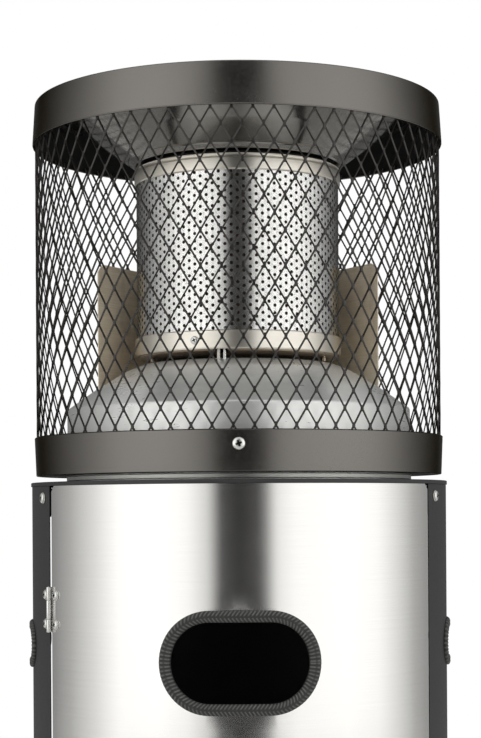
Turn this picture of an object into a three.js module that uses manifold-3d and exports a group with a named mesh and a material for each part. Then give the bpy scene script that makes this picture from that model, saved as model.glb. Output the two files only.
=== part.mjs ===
// Column patio heater: a gas emitter inside a diamond-mesh guard, on a round cabinet with a hinged door.
// Millimetres, +Z up, origin on the floor under the column. The door faces -Y and +X is to its right.
// An azimuth is measured round the column from the front (-Y) towards +X.
import * as THREE from "three";
import { mergeVertices } from "three/addons/utils/BufferGeometryUtils.js";
import Module from "manifold-3d";

const wasm = await Module();
wasm.setup();

// ---- Driving dimensions ----
const HEIGHT = 1150;
const GAP = 0.35; // between pieces that touch
const SHEET = 1.0; // pressed steel sheet
const PLATE = 1.2; // load-carrying sheet
const DEG = Math.PI / 180;
const RING_FACETS = 36; // round the cabinet, guard and dome
const DRUM_FACETS = 24; // round the emitter
const FACET_TURN = 360 / RING_FACETS / 2; // from a facet's edge to its middle, degrees

const BODY_R = 227.5;
const SKIN_TOP = 733.2;
const DECK_TOP = 737.6;
const DECK_LIP_R = 228.6;
const DECK_LIP_HEIGHT = 4.1;
const DOOR_EDGE_AZ = 60; // the door spans this much on both sides of the front
const DOOR_GAP_AZ = 0.3; // half of the slit beside the door's free edge, degrees
const HINGE_GAP_AZ = 0.65; // half of the slit on the hinge side

const BASE_R = 236;
const BASE_BOTTOM = 18;
const BASE_TOP = 72;
const FLOOR_PLATE_TOP = 62; // the gas bottle stands here
const FLOOR_PLATE_R = 232;
const FOOT_SPREAD = 140;
const WHEEL = { r: 27, width: 20, x: 95, y: 207, z: 30, boreR: 4.4 };
const AXLE_R = 4;

const GUARD = { r: 222.5, sheet: 2, bottom: 781, top: 1111.7, around: 18, rows: 2, openShare: 0.91 };
const CAP_BAND_BOTTOM = 1105.7;
const LOWER_BAND = { bottom: 744.8, top: 787.1, bottomR: 222.8, topR: 224.4 };
const NECK_R = 190.4;

const DRUM_R = 111.6;
const DRUM_RING_R = 113.6;
const DRUM_BOTTOM = 875.4;
const DRUM_TOP = 1080.4;
const LOWER_DRUM_RING = 20.4; // height of the plain ring under the perforated screen
const UPPER_DRUM_RING = 17.4;

const DOME_TOP = 867;
const DOME_SHOULDER = [188.7, 817];
const DOME_HOLE_R = 17;
const WIND_SHIELD = { vertexR: 155.3, top: 980.4, cornerCut: 9 };

const DOOR_GRIP = { width: 140, height: 80, rim: 11.7, z: 556.5 };
const SIDE_GRIP = { width: 108, height: 30, rim: 10, z: 563 };
const AIR_SLOT = { azimuth: 107.8, width: 9, bottom: 95, top: 702 }; // beside each side grip
const TRIM_PROUD = 4.2; // how far a grip trim stands out of the skin
const TRIM_WEB = 2.5; // trim wall inside the hole

const HINGE = { r: 230.2, barrelR: 2.4, boreR: 1.4, pinR: 1.1, length: 47, knuckle: 13.4, leafWidth: 18 };
const HINGE_HEIGHTS = { upper: 604.2, lower: 182 };
const HINGE_SCREW_Z = 15.2; // above and below the hinge's middle
const HINGE_SCREW_T = 11; // from the pin, along the skin
const HINGE_SCREW_HEAD = 5;

const VALVE = { z: 702, front: -164, back: -124, width: 44, height: 40 };
const PANEL = { y: -170, bottom: 664, width: 220, sheet: 1.5, flange: 30 };
const IGNITER_X = -60;
const IGNITER_DEPTH = 38; // behind the panel's face
const ROD_Y = -105.5; // electrode and thermocouple
const ROD_R = 1.75;
const ELECTRODE_X = -20.3;
const THERMOCOUPLE_X = -14.7;

// ---- Finishes ----
const finish = (color, roughness, metalness) =>
  new THREE.MeshStandardMaterial({ color, roughness, metalness });
const GUNMETAL = finish(0x55524f, 0.42, 0.8);
const BLACK_SHELL = finish(0x2c2c2e, 0.6, 0.3);
const BRUSHED = finish(0xb9b7b3, 0.35, 0.95);
const DRUM_STEEL = finish(0xb4b2ad, 0.3, 0.95);
const MIRROR_STEEL = finish(0xc6c4c0, 0.1, 1);
const TINTED_STEEL = finish(0x8a7458, 0.35, 0.9);
const DOME_STEEL = finish(0xa2a6a5, 0.5, 0.7);
const RUBBER = finish(0x1c1c1d, 0.85, 0);
const PLASTIC = finish(0x232325, 0.55, 0);
const ZINC = finish(0xc3c4c6, 0.35, 0.9);
const BRASS = finish(0xb08d4a, 0.35, 0.9);
const CERAMIC = finish(0xe9e7e0, 0.4, 0);
const GALVANISED = finish(0x9aa0a2, 0.5, 0.8);

// ---- Shape helpers ----
const heater = new THREE.Group();

function add(name, shape, material, azimuth = 0) {
  const geometry = shape.isBufferGeometry ? shape : geometryOf(shape);
  const mesh = new THREE.Mesh(geometry, material);
  mesh.name = name;
  mesh.rotation.z = azimuth * DEG;
  heater.add(mesh);
}

function solidOf(geometry) {
  const bare = geometry.clone();
  bare.deleteAttribute("normal");
  bare.deleteAttribute("uv");
  const merged = mergeVertices(bare, 1e-4);
  const triVerts = new Uint32Array(merged.index.array);
  const vertProperties = merged.attributes.position.array;
  return new wasm.Manifold(new wasm.Mesh({ numProp: 3, vertProperties, triVerts }));
}

function geometryOf(solid) {
  const mesh = solid.getMesh();
  const geometry = new THREE.BufferGeometry();
  geometry.setAttribute("position", new THREE.BufferAttribute(mesh.vertProperties, 3));
  geometry.setIndex(new THREE.BufferAttribute(mesh.triVerts, 1));
  geometry.computeVertexNormals();
  return geometry;
}

const joined = (...solids) => solids.reduce((whole, solid) => whole.add(solid));

// A profile of [radius, z] turned round the column's axis, anticlockwise in that plane so that it faces out.
function turned(profile, facets = RING_FACETS) {
  const first = profile[0];
  const last = profile[profile.length - 1];
  const closed = first[0] === 0 && last[0] === 0 ? profile : [...profile, first];
  const points = closed.map(([r, z]) => new THREE.Vector2(r, z));
  return new THREE.LatheGeometry(points, facets).rotateX(Math.PI / 2);
}

// The closed profile of a sheet that lies on the left of the given line, at an even thickness.
function sheetProfile(line, thickness) {
  const direction = line.slice(1).map(([r, z], i) => {
    const step = new THREE.Vector2(r - line[i][0], z - line[i][1]);
    return step.normalize();
  });
  const offset = line.map(([r, z], i) => {
    const before = direction[Math.max(i - 1, 0)];
    const after = direction[Math.min(i, direction.length - 1)];
    const scale = thickness / (1 + before.dot(after));
    return [r - (before.y + after.y) * scale, z + (before.x + after.x) * scale];
  });
  const startsOnAxis = line[0][0] === 0;
  const back = offset.reverse();
  return startsOnAxis ? [...line, ...back] : [...back, ...line];
}

const tube = (innerR, outerR, bottom, top, facets = RING_FACETS) =>
  turned([[innerR, bottom], [outerR, bottom], [outerR, top], [innerR, top]], facets);

const box = (low, high) => {
  const size = high.map((value, i) => value - low[i]);
  const middle = high.map((value, i) => (value + low[i]) / 2);
  return new THREE.BoxGeometry(...size).translate(...middle);
};

// A rod along Z between two heights, centred on x, y.
const uprightRod = (r, bottom, top, x = 0, y = 0, facets = 12) =>
  new THREE.CylinderGeometry(r, r, top - bottom, facets)
    .rotateX(Math.PI / 2)
    .translate(x, y, (top + bottom) / 2);

// A profile of [radius, distance] turned round a line along +Y that starts at x, y, z.
const turnedAlongY = (profile, x, y, z, facets = 24) =>
  turned(profile, facets).rotateX(-Math.PI / 2).translate(x, y, z);

const crossRod = (r, fromX, toX, y, z, facets = 12) =>
  new THREE.CylinderGeometry(r, r, toX - fromX, facets)
    .rotateZ(Math.PI / 2)
    .translate((fromX + toX) / 2, y, z);

// A prism with round ends, pointing along -Y from the column's axis.
function ovalPrism(width, height, z) {
  const r = height / 2;
  const straight = width / 2 - r;
  const outline = new THREE.Shape();
  outline.absarc(straight, 0, r, -Math.PI / 2, Math.PI / 2);
  outline.absarc(-straight, 0, r, Math.PI / 2, (3 * Math.PI) / 2);
  const settings = { depth: BODY_R + 30, bevelEnabled: false, curveSegments: 5 };
  const prism = new THREE.ExtrudeGeometry(outline, settings);
  return solidOf(prism.rotateX(Math.PI / 2).translate(0, 0, z));
}

// The wedge of the cabinet that the door fills, between its hinge side and its free side.
function doorWedge(hingeAz, freeAz) {
  return atAzimuth(wedge((hingeAz + freeAz) / 2), (freeAz - hingeAz) / 2);
}

function wedge(halfAngle) {
  const reach = 3 * BODY_R;
  const outline = new THREE.Shape();
  outline.moveTo(0, 0);
  outline.lineTo(-reach * Math.sin(halfAngle * DEG), -reach * Math.cos(halfAngle * DEG));
  outline.lineTo(reach * Math.sin(halfAngle * DEG), -reach * Math.cos(halfAngle * DEG));
  return solidOf(new THREE.ExtrudeGeometry(outline, { depth: HEIGHT, bevelEnabled: false }));
}

// A screw pointing into the column at the front: its head rests on headR, and its shank ends at shankEnd.
function screw(headR, z, headRadius, headHeight, shankR, shankEnd, facets = 10) {
  const shank = headR - shankEnd;
  const profile = [
    [0, -shank],
    [shankR, -shank],
    [shankR, 0],
    [headRadius, 0],
    [headRadius, headHeight * 0.4],
    [headRadius * 0.6, headHeight],
    [0, headHeight],
  ];
  return turned(profile, facets).rotateX(Math.PI / 2).translate(0, -headR, z);
}

const screwHole = (r, z) => solidOf(new THREE.CylinderGeometry(r, r, 40, 8).translate(0, -BODY_R, z));
const atAzimuth = (solid, azimuth) => solid.rotate([0, 0, azimuth]);

// ---- Guard and reflector ----
// The mesh: diamond tiles round a tube, each with a smaller diamond opening.
// Columns and levels count half tiles.
function guardMesh() {
  const { r, sheet, bottom, top, around, rows, openShare } = GUARD;
  const levels = 2 * rows;
  const rim = 0.12; // height of the closed rim at both ends, in levels
  const positions = [];
  const at = (radius, column, level) => {
    const angle = (column * Math.PI) / around;
    const z = bottom + ((top - bottom) * level) / levels;
    return [radius * Math.sin(angle), -radius * Math.cos(angle), z];
  };
  const quad = (a, b, c, d) => positions.push(...a, ...b, ...c, ...a, ...c, ...d);
  const tile = (column, level, corners, opening, openEdges) => {
    const place = ([c, l], radius) => at(radius, column + c, level + l);
    corners.forEach((corner, i) => {
      const next = (i + 1) % corners.length;
      const ring = [corner, corners[next], opening[next], opening[i]];
      const outside = ring.map((point) => place(point, r));
      const inside = ring.map((point) => place(point, r - sheet));
      quad(...outside);
      quad(...inside.toReversed());
      quad(outside[3], outside[2], inside[2], inside[3]);
      if (openEdges.includes(i)) quad(outside[1], outside[0], inside[0], inside[1]);
    });
  };
  const s = openShare;
  const full = [[-1, 0], [0, -1], [1, 0], [0, 1]];
  const fullOpening = full.map(([c, l]) => [c * s, l * s]);
  for (let level = 0; level <= levels; level++) {
    for (let column = (level + 1) % 2; column < 2 * around; column += 2) {
      if (level === 0) {
        const opening = [[rim - s, rim], [s - rim, rim], [0, s]];
        tile(column, level, [[-1, 0], [1, 0], [0, 1]], opening, [0]);
      } else if (level === levels) {
        const opening = [[s - rim, -rim], [rim - s, -rim], [0, -s]];
        tile(column, level, [[1, 0], [-1, 0], [0, -1]], opening, [0]);
      } else {
        tile(column, level, full, fullOpening, []);
      }
    }
  }
  const geometry = new THREE.BufferGeometry();
  geometry.setAttribute("position", new THREE.Float32BufferAttribute(positions, 3));
  const merged = mergeVertices(geometry, 1e-4);
  merged.computeVertexNormals();
  return merged;
}

function makeGuard() {
  const rimR = 222.3;
  const edge = 2; // rounding of the cap's top edge
  const roundEdge = [60, 30].map((turn) => [
    rimR - edge + edge * Math.sin(turn * DEG),
    HEIGHT - edge + edge * Math.cos(turn * DEG),
  ]);
  const capLine = [
    [225, CAP_BAND_BOTTOM],
    [rimR, HEIGHT - edge],
    ...roundEdge,
    [rimR - edge, HEIGHT],
    [0, HEIGHT],
  ];
  add("top_cap", turned(sheetProfile(capLine, PLATE)), GUNMETAL);

  const lipZ = 1085;
  const rimZ = HEIGHT - PLATE - GAP;
  const coneLine = [[0, lipZ], [115, lipZ], [185, 1136.5], [200, rimZ - SHEET], [207, rimZ - SHEET]];
  add("reflector_cone", turned(sheetProfile(coneLine, SHEET)), MIRROR_STEEL);

  add("guard_mesh", guardMesh(), BLACK_SHELL);

  const { bottom, top, bottomR, topR } = LOWER_BAND;
  const bandScrewZ = 772.4;
  const band = solidOf(turned(sheetProfile([[bottomR, bottom], [topR, top]], SHEET)));
  add("guard_lower_band", band.subtract(screwHole(3.3, bandScrewZ)), GUNMETAL);
  add("guard_band_screw", screw(topR + GAP, bandScrewZ, 6.5, 3.6, 2.8, 218), ZINC);

  const floorZ = bottom + 0.8;
  add("guard_floor_ring", tube(NECK_R - 3, bottomR - SHEET - 0.6, floorZ, floorZ + PLATE), GUNMETAL);
  add("neck_ring", tube(NECK_R - 3, NECK_R, DECK_TOP + GAP, floorZ - GAP), GUNMETAL);
}

// ---- Emitter and burner ----
function makeEmitter() {
  const ringScrewAz = -23.6;
  const ringScrewZ = DRUM_BOTTOM + 9.8;
  const drumTubeInner = DRUM_RING_R - PLATE;
  const screenBottom = DRUM_BOTTOM + 4.8;
  add("emitter_screen", tube(DRUM_R - SHEET, DRUM_R, screenBottom, DRUM_TOP - 3, DRUM_FACETS), DRUM_STEEL);
  const topRing = tube(drumTubeInner, DRUM_RING_R, DRUM_TOP - UPPER_DRUM_RING, DRUM_TOP, DRUM_FACETS);
  add("emitter_top_ring", topRing, TINTED_STEEL);
  const lowerTop = DRUM_BOTTOM + LOWER_DRUM_RING;
  const lowerRing = solidOf(tube(drumTubeInner, DRUM_RING_R, DRUM_BOTTOM, lowerTop, DRUM_FACETS));
  const hole = new THREE.CylinderGeometry(2.6, 2.6, 3 * PLATE, 12).translate(0, -DRUM_RING_R, ringScrewZ);
  add("emitter_bottom_ring", lowerRing.subtract(atAzimuth(solidOf(hole), ringScrewAz)), TINTED_STEEL);
  const ringScrew = screw(DRUM_RING_R + GAP, ringScrewZ, 4.7, 3, 2.1, DRUM_R + GAP);
  add("emitter_ring_screw", ringScrew, ZINC, ringScrewAz);

  const capR = 108;
  const capLine = [[capR, DRUM_TOP - 3], [capR, DRUM_TOP + 4], [0, DRUM_TOP + 4]];
  add("emitter_cap", turned(sheetProfile(capLine, SHEET), DRUM_FACETS), TINTED_STEEL);

  const trayBottom = DOME_TOP + 4;
  const trayR = DRUM_R - 0.4;
  const trayLine = [
    [DOME_HOLE_R, trayBottom],
    [102, trayBottom],
    [trayR, trayBottom + 5],
    [trayR, screenBottom - GAP],
  ];
  const notch = solidOf(box([-24, -DRUM_R - 5, trayBottom - 5], [-11, -99, screenBottom]));
  let tray = solidOf(turned(sheetProfile(trayLine, SHEET), DRUM_FACETS)).subtract(notch);
  for (const azimuth of [-117, -63, 63, 117]) {
    const stud = uprightRod(2.5, DOME_TOP + 0.2, trayBottom + 2.2, 0, -103.5, 6);
    tray = tray.add(atAzimuth(solidOf(stud), azimuth));
  }
  add("burner_tray", tray, TINTED_STEEL);

  const headLine = [[16.2, 884], [60, 884], [64, 888], [64, 902], [48, 911], [0, 914]];
  add("burner_head", turned(sheetProfile(headLine, 1.5), 18), TINTED_STEEL);
  add("mixing_tube", mixingTube(884 + 3), GALVANISED);
  add("gas_jet", turned([[0, 748.4], [5.5, 748.4], [5.5, 755], [2.5, 760], [0, 760]], 6), BRASS);
}

// The tube that draws air in above the deck and carries the mixture up to the burner head.
function mixingTube(top) {
  const bottom = DECK_TOP + GAP;
  const inner = 14;
  const outer = 15.5;
  const flange = [[inner, bottom], [28, bottom], [28, bottom + 1.5], [outer, bottom + 1.5]];
  const wall = [[outer, top], [inner, top]];
  let body = solidOf(turned([...flange, ...wall], 18));
  for (const turn of [45, 135]) {
    const airHole = new THREE.CylinderGeometry(5, 5, 60, 6).rotateZ(turn * DEG);
    body = body.subtract(solidOf(airHole.translate(0, 0, DECK_TOP + 30)));
  }
  return body;
}

// A thin rod that rises into the emitter and runs down through the deck to the control unit.
function burnerLead(x, tip, end) {
  const start = new THREE.Vector3(x, ROD_Y, tip);
  const bend = new THREE.Vector3(x, ROD_Y, 730);
  const below = new THREE.Vector3(x, ROD_Y, 704);
  const behind = new THREE.Vector3(end.x, end.y + 26, end.z);
  const path = new THREE.CurvePath();
  path.add(new THREE.LineCurve3(start, bend));
  path.add(new THREE.CubicBezierCurve3(bend, below, behind, end));
  const section = new THREE.Shape();
  section.absarc(0, 0, ROD_R, 0, 2 * Math.PI);
  return new THREE.ExtrudeGeometry(section, { extrudePath: path, steps: 16, curveSegments: 3 });
}

function makeDome() {
  const [shoulderR, shoulderZ] = DOME_SHOULDER;
  const domeLine = [
    [shoulderR, LOWER_BAND.bottom + 0.8 + PLATE + GAP],
    [shoulderR, shoulderZ],
    [159, 838],
    [126, 858.2],
    [105, DOME_TOP],
    [DOME_HOLE_R, DOME_TOP],
  ];
  const leads = solidOf(box([-24.5, ROD_Y - 4, DOME_TOP - 8], [-10.5, ROD_Y + 4, DOME_TOP + 5]));
  const dome = solidOf(turned(sheetProfile(domeLine, SHEET)));
  add("dome_heat_shield", dome.subtract(leads), DOME_STEEL);

  // Three flat panels behind the emitter, cut to the dome underneath.
  const { vertexR, top, cornerCut } = WIND_SHIELD;
  const corner = (r, turn) => new THREE.Vector2(r * Math.cos(turn * DEG), r * Math.sin(turn * DEG));
  const turns = [0, 60, 120, 180];
  const outside = turns.map((turn) => corner(vertexR, turn));
  const inside = turns.map((turn) => corner(vertexR - PLATE, turn)).reverse();
  const outline = new THREE.Shape([...outside, ...inside]);
  const depth = top - shoulderZ;
  const panels = new THREE.ExtrudeGeometry(outline, { depth, bevelEnabled: false });
  panels.translate(0, 0, shoulderZ);
  const raise = 0.5;
  const under = domeLine.slice(1, -1).map(([r, z]) => [r, z + raise]);
  const below = [[0, shoulderZ - 20], [shoulderR, shoulderZ - 20], ...under, [0, DOME_TOP + raise]];
  const clip = new THREE.BoxGeometry(vertexR, 4 * cornerCut, cornerCut * Math.SQRT2).rotateX(Math.PI / 4);
  let shield = solidOf(panels).subtract(solidOf(turned(below)));
  for (const side of [-1, 1]) {
    shield = shield.subtract(solidOf(clip.clone().translate(side * vertexR, -cornerCut, top)));
  }
  add("wind_shield", shield, TINTED_STEEL);
}

// ---- Cabinet ----
function edgeTrim({ width, height, rim, z }) {
  const outer = ovalPrism(width + 2 * rim, height + 2 * rim, z);
  const inner = ovalPrism(width, height, z);
  const web = ovalPrism(width + 2 * TRIM_WEB, height + 2 * TRIM_WEB, z);
  const reach = height / 2 + rim + 5;
  const band = solidOf(tube(BODY_R - SHEET - TRIM_PROUD, BODY_R + TRIM_PROUD, z - reach, z + reach));
  const slot = solidOf(tube(BODY_R - SHEET - GAP, BODY_R + GAP, z - reach, z + reach));
  return outer.intersect(band).subtract(inner).subtract(slot.subtract(web));
}

function gripHole({ width, height, z }) {
  const grown = 2 * (TRIM_WEB + GAP);
  return ovalPrism(width + grown, height + grown, z);
}

function makeCabinet() {
  const lipLine = [
    [DECK_LIP_R, DECK_TOP - DECK_LIP_HEIGHT],
    [DECK_LIP_R, DECK_TOP - 0.7],
    [DECK_LIP_R - 0.7, DECK_TOP],
    [10, DECK_TOP],
  ];
  const leads = solidOf(box([-24.5, ROD_Y - 4, DECK_TOP - 9], [-10.5, ROD_Y + 4, DECK_TOP + 5]));
  const deck = solidOf(turned(sheetProfile(lipLine, PLATE)));
  add("deck", deck.subtract(leads), BLACK_SHELL);

  const skinBottom = FLOOR_PLATE_TOP + GAP;
  const skin = (bottom) => solidOf(tube(BODY_R - SHEET, BODY_R, bottom, SKIN_TOP));
  const cornerScrewAz = 65;
  const cornerScrewZ = 720.7;
  const slotSide = AIR_SLOT.width / 2;
  const airSlot = box([-slotSide, -BODY_R - 10, AIR_SLOT.bottom], [slotSide, -BODY_R + 10, AIR_SLOT.top]);
  let shell = skin(skinBottom).subtract(doorWedge(DOOR_EDGE_AZ + HINGE_GAP_AZ, DOOR_EDGE_AZ + DOOR_GAP_AZ));
  for (const side of [-1, 1]) {
    shell = shell.subtract(atAzimuth(gripHole(SIDE_GRIP), side * 90));
    shell = shell.subtract(atAzimuth(screwHole(2.6, cornerScrewZ), side * cornerScrewAz));
    shell = shell.subtract(atAzimuth(solidOf(airSlot.clone()), side * AIR_SLOT.azimuth));
  }
  const hingeScrews = Object.values(HINGE_HEIGHTS).flatMap((z) => [z - HINGE_SCREW_Z, z + HINGE_SCREW_Z]);
  hingeScrews.forEach((z) => {
    shell = shell.subtract(atAzimuth(hingeScrewHole(z, -1), -DOOR_EDGE_AZ - FACET_TURN));
  });
  for (let azimuth = 155; azimuth <= 205; azimuth += 10) {
    const vent = box([-12, -BODY_R - 10, 120], [12, -BODY_R + 10, 128]);
    shell = shell.subtract(atAzimuth(solidOf(vent), azimuth));
  }
  add("body_shell", shell, BLACK_SHELL);

  const leaf = doorWedge(DOOR_EDGE_AZ - HINGE_GAP_AZ, DOOR_EDGE_AZ - DOOR_GAP_AZ);
  let door = skin(BASE_TOP + 4).intersect(leaf).subtract(gripHole(DOOR_GRIP));
  hingeScrews.forEach((z) => {
    door = door.subtract(atAzimuth(hingeScrewHole(z, 1), -DOOR_EDGE_AZ + FACET_TURN));
  });
  const notch = new THREE.BoxGeometry(9, 20, 9).rotateY(Math.PI / 4).translate(0, -BODY_R, SKIN_TOP);
  for (const azimuth of [HINGE_GAP_AZ - DOOR_EDGE_AZ, DOOR_EDGE_AZ - DOOR_GAP_AZ]) {
    door = door.subtract(atAzimuth(solidOf(notch), azimuth));
  }
  add("door", door, BRUSHED);

  add("door_grip_trim", edgeTrim(DOOR_GRIP), RUBBER);
  add("left_grip_trim", edgeTrim(SIDE_GRIP), RUBBER, -90);
  add("right_grip_trim", edgeTrim(SIDE_GRIP), RUBBER, 90);

  for (const [side, turn] of [["left", -1], ["right", 1]]) {
    const outer = (BODY_R - SHEET) * Math.cos(FACET_TURN * DEG) - GAP;
    const plate = box([-13, -outer, 701], [13, -outer + 1.5, SKIN_TOP - GAP]);
    const toScrew = DOOR_EDGE_AZ + FACET_TURN - cornerScrewAz;
    const hole = atAzimuth(screwHole(2.6, cornerScrewZ), -toScrew * turn);
    const bracket = solidOf(plate).subtract(hole);
    add(side + "_corner_bracket", bracket, BLACK_SHELL, turn * (DOOR_EDGE_AZ + FACET_TURN));
    const headR = BODY_R + GAP;
    const fastener = screw(headR, cornerScrewZ, 5.5, 3, 2.1, headR - 8);
    add(side + "_shell_screw", fastener, ZINC, turn * cornerScrewAz);
  }
}

// ---- Door hinges and catch ----
// Hinge pieces are made with the pin at x = 0, y = -HINGE.r and turned to the door's edge.
// side is -1 for the leaf on the shell and +1 for the leaf on the door.
const leafMiddle = (side) => side * BODY_R * Math.sin(FACET_TURN * DEG);
const screwX = (side) => side * HINGE_SCREW_T - leafMiddle(side);

const hingeScrewHole = (z, side) => screwHole(2.2, z).translate([screwX(side), 0, 0]);

function hingeLeaf(z, side, knuckles) {
  const facetR = (BODY_R - SHEET) * Math.cos(FACET_TURN * DEG);
  const leafOuter = facetR - GAP;
  const half = HINGE.length / 2;
  const edges = [0.3, HINGE.leafWidth].map((fromPin) => side * fromPin - leafMiddle(side));
  const [left, right] = edges.sort((a, b) => a - b);
  let leaf = solidOf(box([left, -leafOuter, z - half], [right, -leafOuter + PLATE, z + half]));
  for (const turn of [-1, 1]) {
    const headR = BODY_R * Math.cos(FACET_TURN * DEG) + GAP;
    const screwZ = z + turn * HINGE_SCREW_Z;
    const fastener = solidOf(screw(headR, screwZ, HINGE_SCREW_HEAD, 2.4, 1.8, leafOuter - 3, 8));
    leaf = leaf.add(fastener.translate([screwX(side), 0, 0]));
  }
  leaf = atAzimuth(leaf, side * FACET_TURN);
  for (const [low, high] of knuckles) {
    const barrel = tube(HINGE.boreR, HINGE.barrelR, low, high, 8).translate(0, -HINGE.r, 0);
    const neckXs = [side * 0.15, side * 0.85].sort((a, b) => a - b);
    const neck = box([neckXs[0], -HINGE.r + 1.7, low], [neckXs[1], -leafOuter + 0.9, high]);
    leaf = joined(leaf, solidOf(barrel), solidOf(neck));
  }
  return leaf;
}

function makeHinges() {
  for (const [name, z] of Object.entries(HINGE_HEIGHTS)) {
    const low = z - HINGE.length / 2;
    const high = z + HINGE.length / 2;
    const outerKnuckles = [[low, low + HINGE.knuckle], [high - HINGE.knuckle, high]];
    const middleKnuckle = [[low + HINGE.knuckle + GAP, high - HINGE.knuckle - GAP]];
    add(name + "_hinge_fixed_leaf", hingeLeaf(z, -1, outerKnuckles), ZINC, -DOOR_EDGE_AZ);
    add(name + "_hinge_door_leaf", hingeLeaf(z, 1, middleKnuckle), ZINC, -DOOR_EDGE_AZ);
    const pin = uprightRod(HINGE.pinR, low - 0.5, high + 0.5, 0, -HINGE.r, 8);
    add(name + "_hinge_pin", pin, ZINC, -DOOR_EDGE_AZ);
  }
  // A magnet behind the door's free edge, and the steel plate on the door that it holds.
  const catchZ = 400;
  const facetR = (BODY_R - SHEET) * Math.cos(FACET_TURN * DEG) - GAP;
  const plate = box([-10, -facetR, catchZ - 20], [16, -facetR + SHEET, catchZ + 20]);
  add("strike_plate", plate, ZINC, DOOR_EDGE_AZ - FACET_TURN);
  const magnetFace = facetR - SHEET - 5 * GAP;
  const magnet = solidOf(box([-24, -magnetFace, catchZ - 14], [16, -magnetFace + 14, catchZ + 14]));
  const pad = solidOf(box([4, -facetR + GAP, catchZ - 14], [16, -magnetFace + 1, catchZ + 14]));
  add("magnet_catch", joined(pad, magnet), PLASTIC, DOOR_EDGE_AZ);
}

// ---- Gas control behind the door ----
function makeControls() {
  const { y, bottom, width, sheet, flange } = PANEL;
  const underDeck = DECK_TOP - PLATE - GAP;
  const half = width / 2;
  let panel = solidOf(box([-half, y, bottom], [half, y + sheet, underDeck]));
  panel = panel.add(solidOf(box([-half, y, underDeck - sheet], [half, y + flange, underDeck])));
  const spindleHole = new THREE.CylinderGeometry(7, 7, 10, 16).translate(0, y, VALVE.z);
  const igniterHole = new THREE.CylinderGeometry(9.6, 9.6, 10, 16).translate(IGNITER_X, y, VALVE.z);
  panel = panel.subtract(solidOf(spindleHole)).subtract(solidOf(igniterHole));
  add("control_panel", panel, GALVANISED);

  const valveHalf = VALVE.width / 2;
  const valveBottom = VALVE.z - VALVE.height / 2;
  const valveTop = valveBottom + VALVE.height;
  const valveBody = box([-valveHalf, VALVE.front, valveBottom], [valveHalf, VALVE.back, valveTop]);
  const valveBore = turnedAlongY([[0, -5], [9.4, -5], [9.4, 26], [0, 26]], 0, VALVE.front, VALVE.z);
  add("gas_valve", solidOf(valveBody).subtract(solidOf(valveBore)), BRASS);
  const plug = turnedAlongY([[4.4, 0], [9, 0], [9, 20], [4.4, 20]], 0, VALVE.front + 1, VALVE.z);
  add("valve_plug", plug, BRASS);
  const spindleFront = -197;
  const spindle = turnedAlongY([[0, 0], [4, 0], [4, 50], [0, 50]], 0, spindleFront, VALVE.z, 16);
  add("valve_spindle", spindle, ZINC);

  const knobBack = y - 4.5;
  const skirtProfile = [[0, -22], [15, -22], [16, -8], [23, -6], [23, 0], [0, 0]];
  const skirt = turnedAlongY(skirtProfile, 0, knobBack, VALVE.z, 24);
  const blade = box([-5, knobBack - 27, VALVE.z - 21], [5, knobBack - 4, VALVE.z + 21]);
  const boreProfile = [[0, -1], [4.4, -1], [4.4, 40], [0, 40]];
  const knobBore = turnedAlongY(boreProfile, 0, spindleFront + 1 - GAP, VALVE.z, 16);
  const knob = joined(solidOf(skirt), solidOf(blade)).subtract(solidOf(knobBore));
  add("control_knob", knob, PLASTIC);

  const behind = sheet + GAP;
  const bezel = [[0, -4], [13, -4], [13, -GAP], [9.2, -GAP]];
  const barrel = [[9.2, behind], [11.5, behind], [11.5, IGNITER_DEPTH], [0, IGNITER_DEPTH]];
  const igniter = turnedAlongY([...bezel, ...barrel], IGNITER_X, y, VALVE.z, 16);
  const igniterBore = turnedAlongY([[0, -10], [8.4, -10], [8.4, 16], [0, 16]], IGNITER_X, y, VALVE.z, 16);
  add("igniter_body", solidOf(igniter).subtract(solidOf(igniterBore)), PLASTIC);
  const button = turnedAlongY([[0, -11], [7, -11], [8, -9.5], [8, 8], [0, 8]], IGNITER_X, y, VALVE.z, 16);
  add("igniter_button", button, RUBBER);

  const leadZ = VALVE.z + 5;
  const thermocoupleEnd = new THREE.Vector3(-14, VALVE.back + GAP, leadZ);
  add("thermocouple", burnerLead(THERMOCOUPLE_X, 903, thermocoupleEnd), ZINC);
  const igniterEnd = new THREE.Vector3(IGNITER_X, y + IGNITER_DEPTH + GAP, VALVE.z);
  add("ignition_electrode", burnerLead(ELECTRODE_X, 898, igniterEnd), CERAMIC);

  add("gas_pipe", gasPipe(), BRASS);
  const nippleTop = valveBottom - GAP;
  const nipple = [[0, 0], [4, 0], [5.2, 4], [4, 8], [5.2, 12], [4, 16], [8, 16], [8, 22], [0, 22]];
  const hoseNipple = turned(nipple.map(([r, z]) => [r, z + nippleTop - 22]), 12).translate(8, -150, 0);
  add("hose_inlet_nipple", hoseNipple, BRASS);

  const switchBack = y + sheet + GAP;
  const housing = solidOf(box([50, switchBack, 684], [84, switchBack + 24, 716]));
  const dome = solidOf(uprightRod(9, 676, 690, 67, switchBack + 12, 16));
  add("tilt_switch", joined(housing, dome), PLASTIC);
}

function gasPipe() {
  const z = VALVE.z + 5;
  const start = new THREE.Vector3(0, VALVE.back + GAP, z);
  const bend = new THREE.Vector3(0, -26, z);
  const corner = new THREE.Vector3(0, 0, z);
  const rise = new THREE.Vector3(0, 0, z + 26);
  const top = new THREE.Vector3(0, 0, 748);
  const path = new THREE.CurvePath();
  path.add(new THREE.LineCurve3(start, bend));
  path.add(new THREE.QuadraticBezierCurve3(bend, corner, rise));
  path.add(new THREE.LineCurve3(rise, top));
  const section = new THREE.Shape();
  section.absarc(0, 0, 4, 0, 2 * Math.PI);
  return new THREE.ExtrudeGeometry(section, { extrudePath: path, steps: 16, curveSegments: 4 });
}

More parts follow.
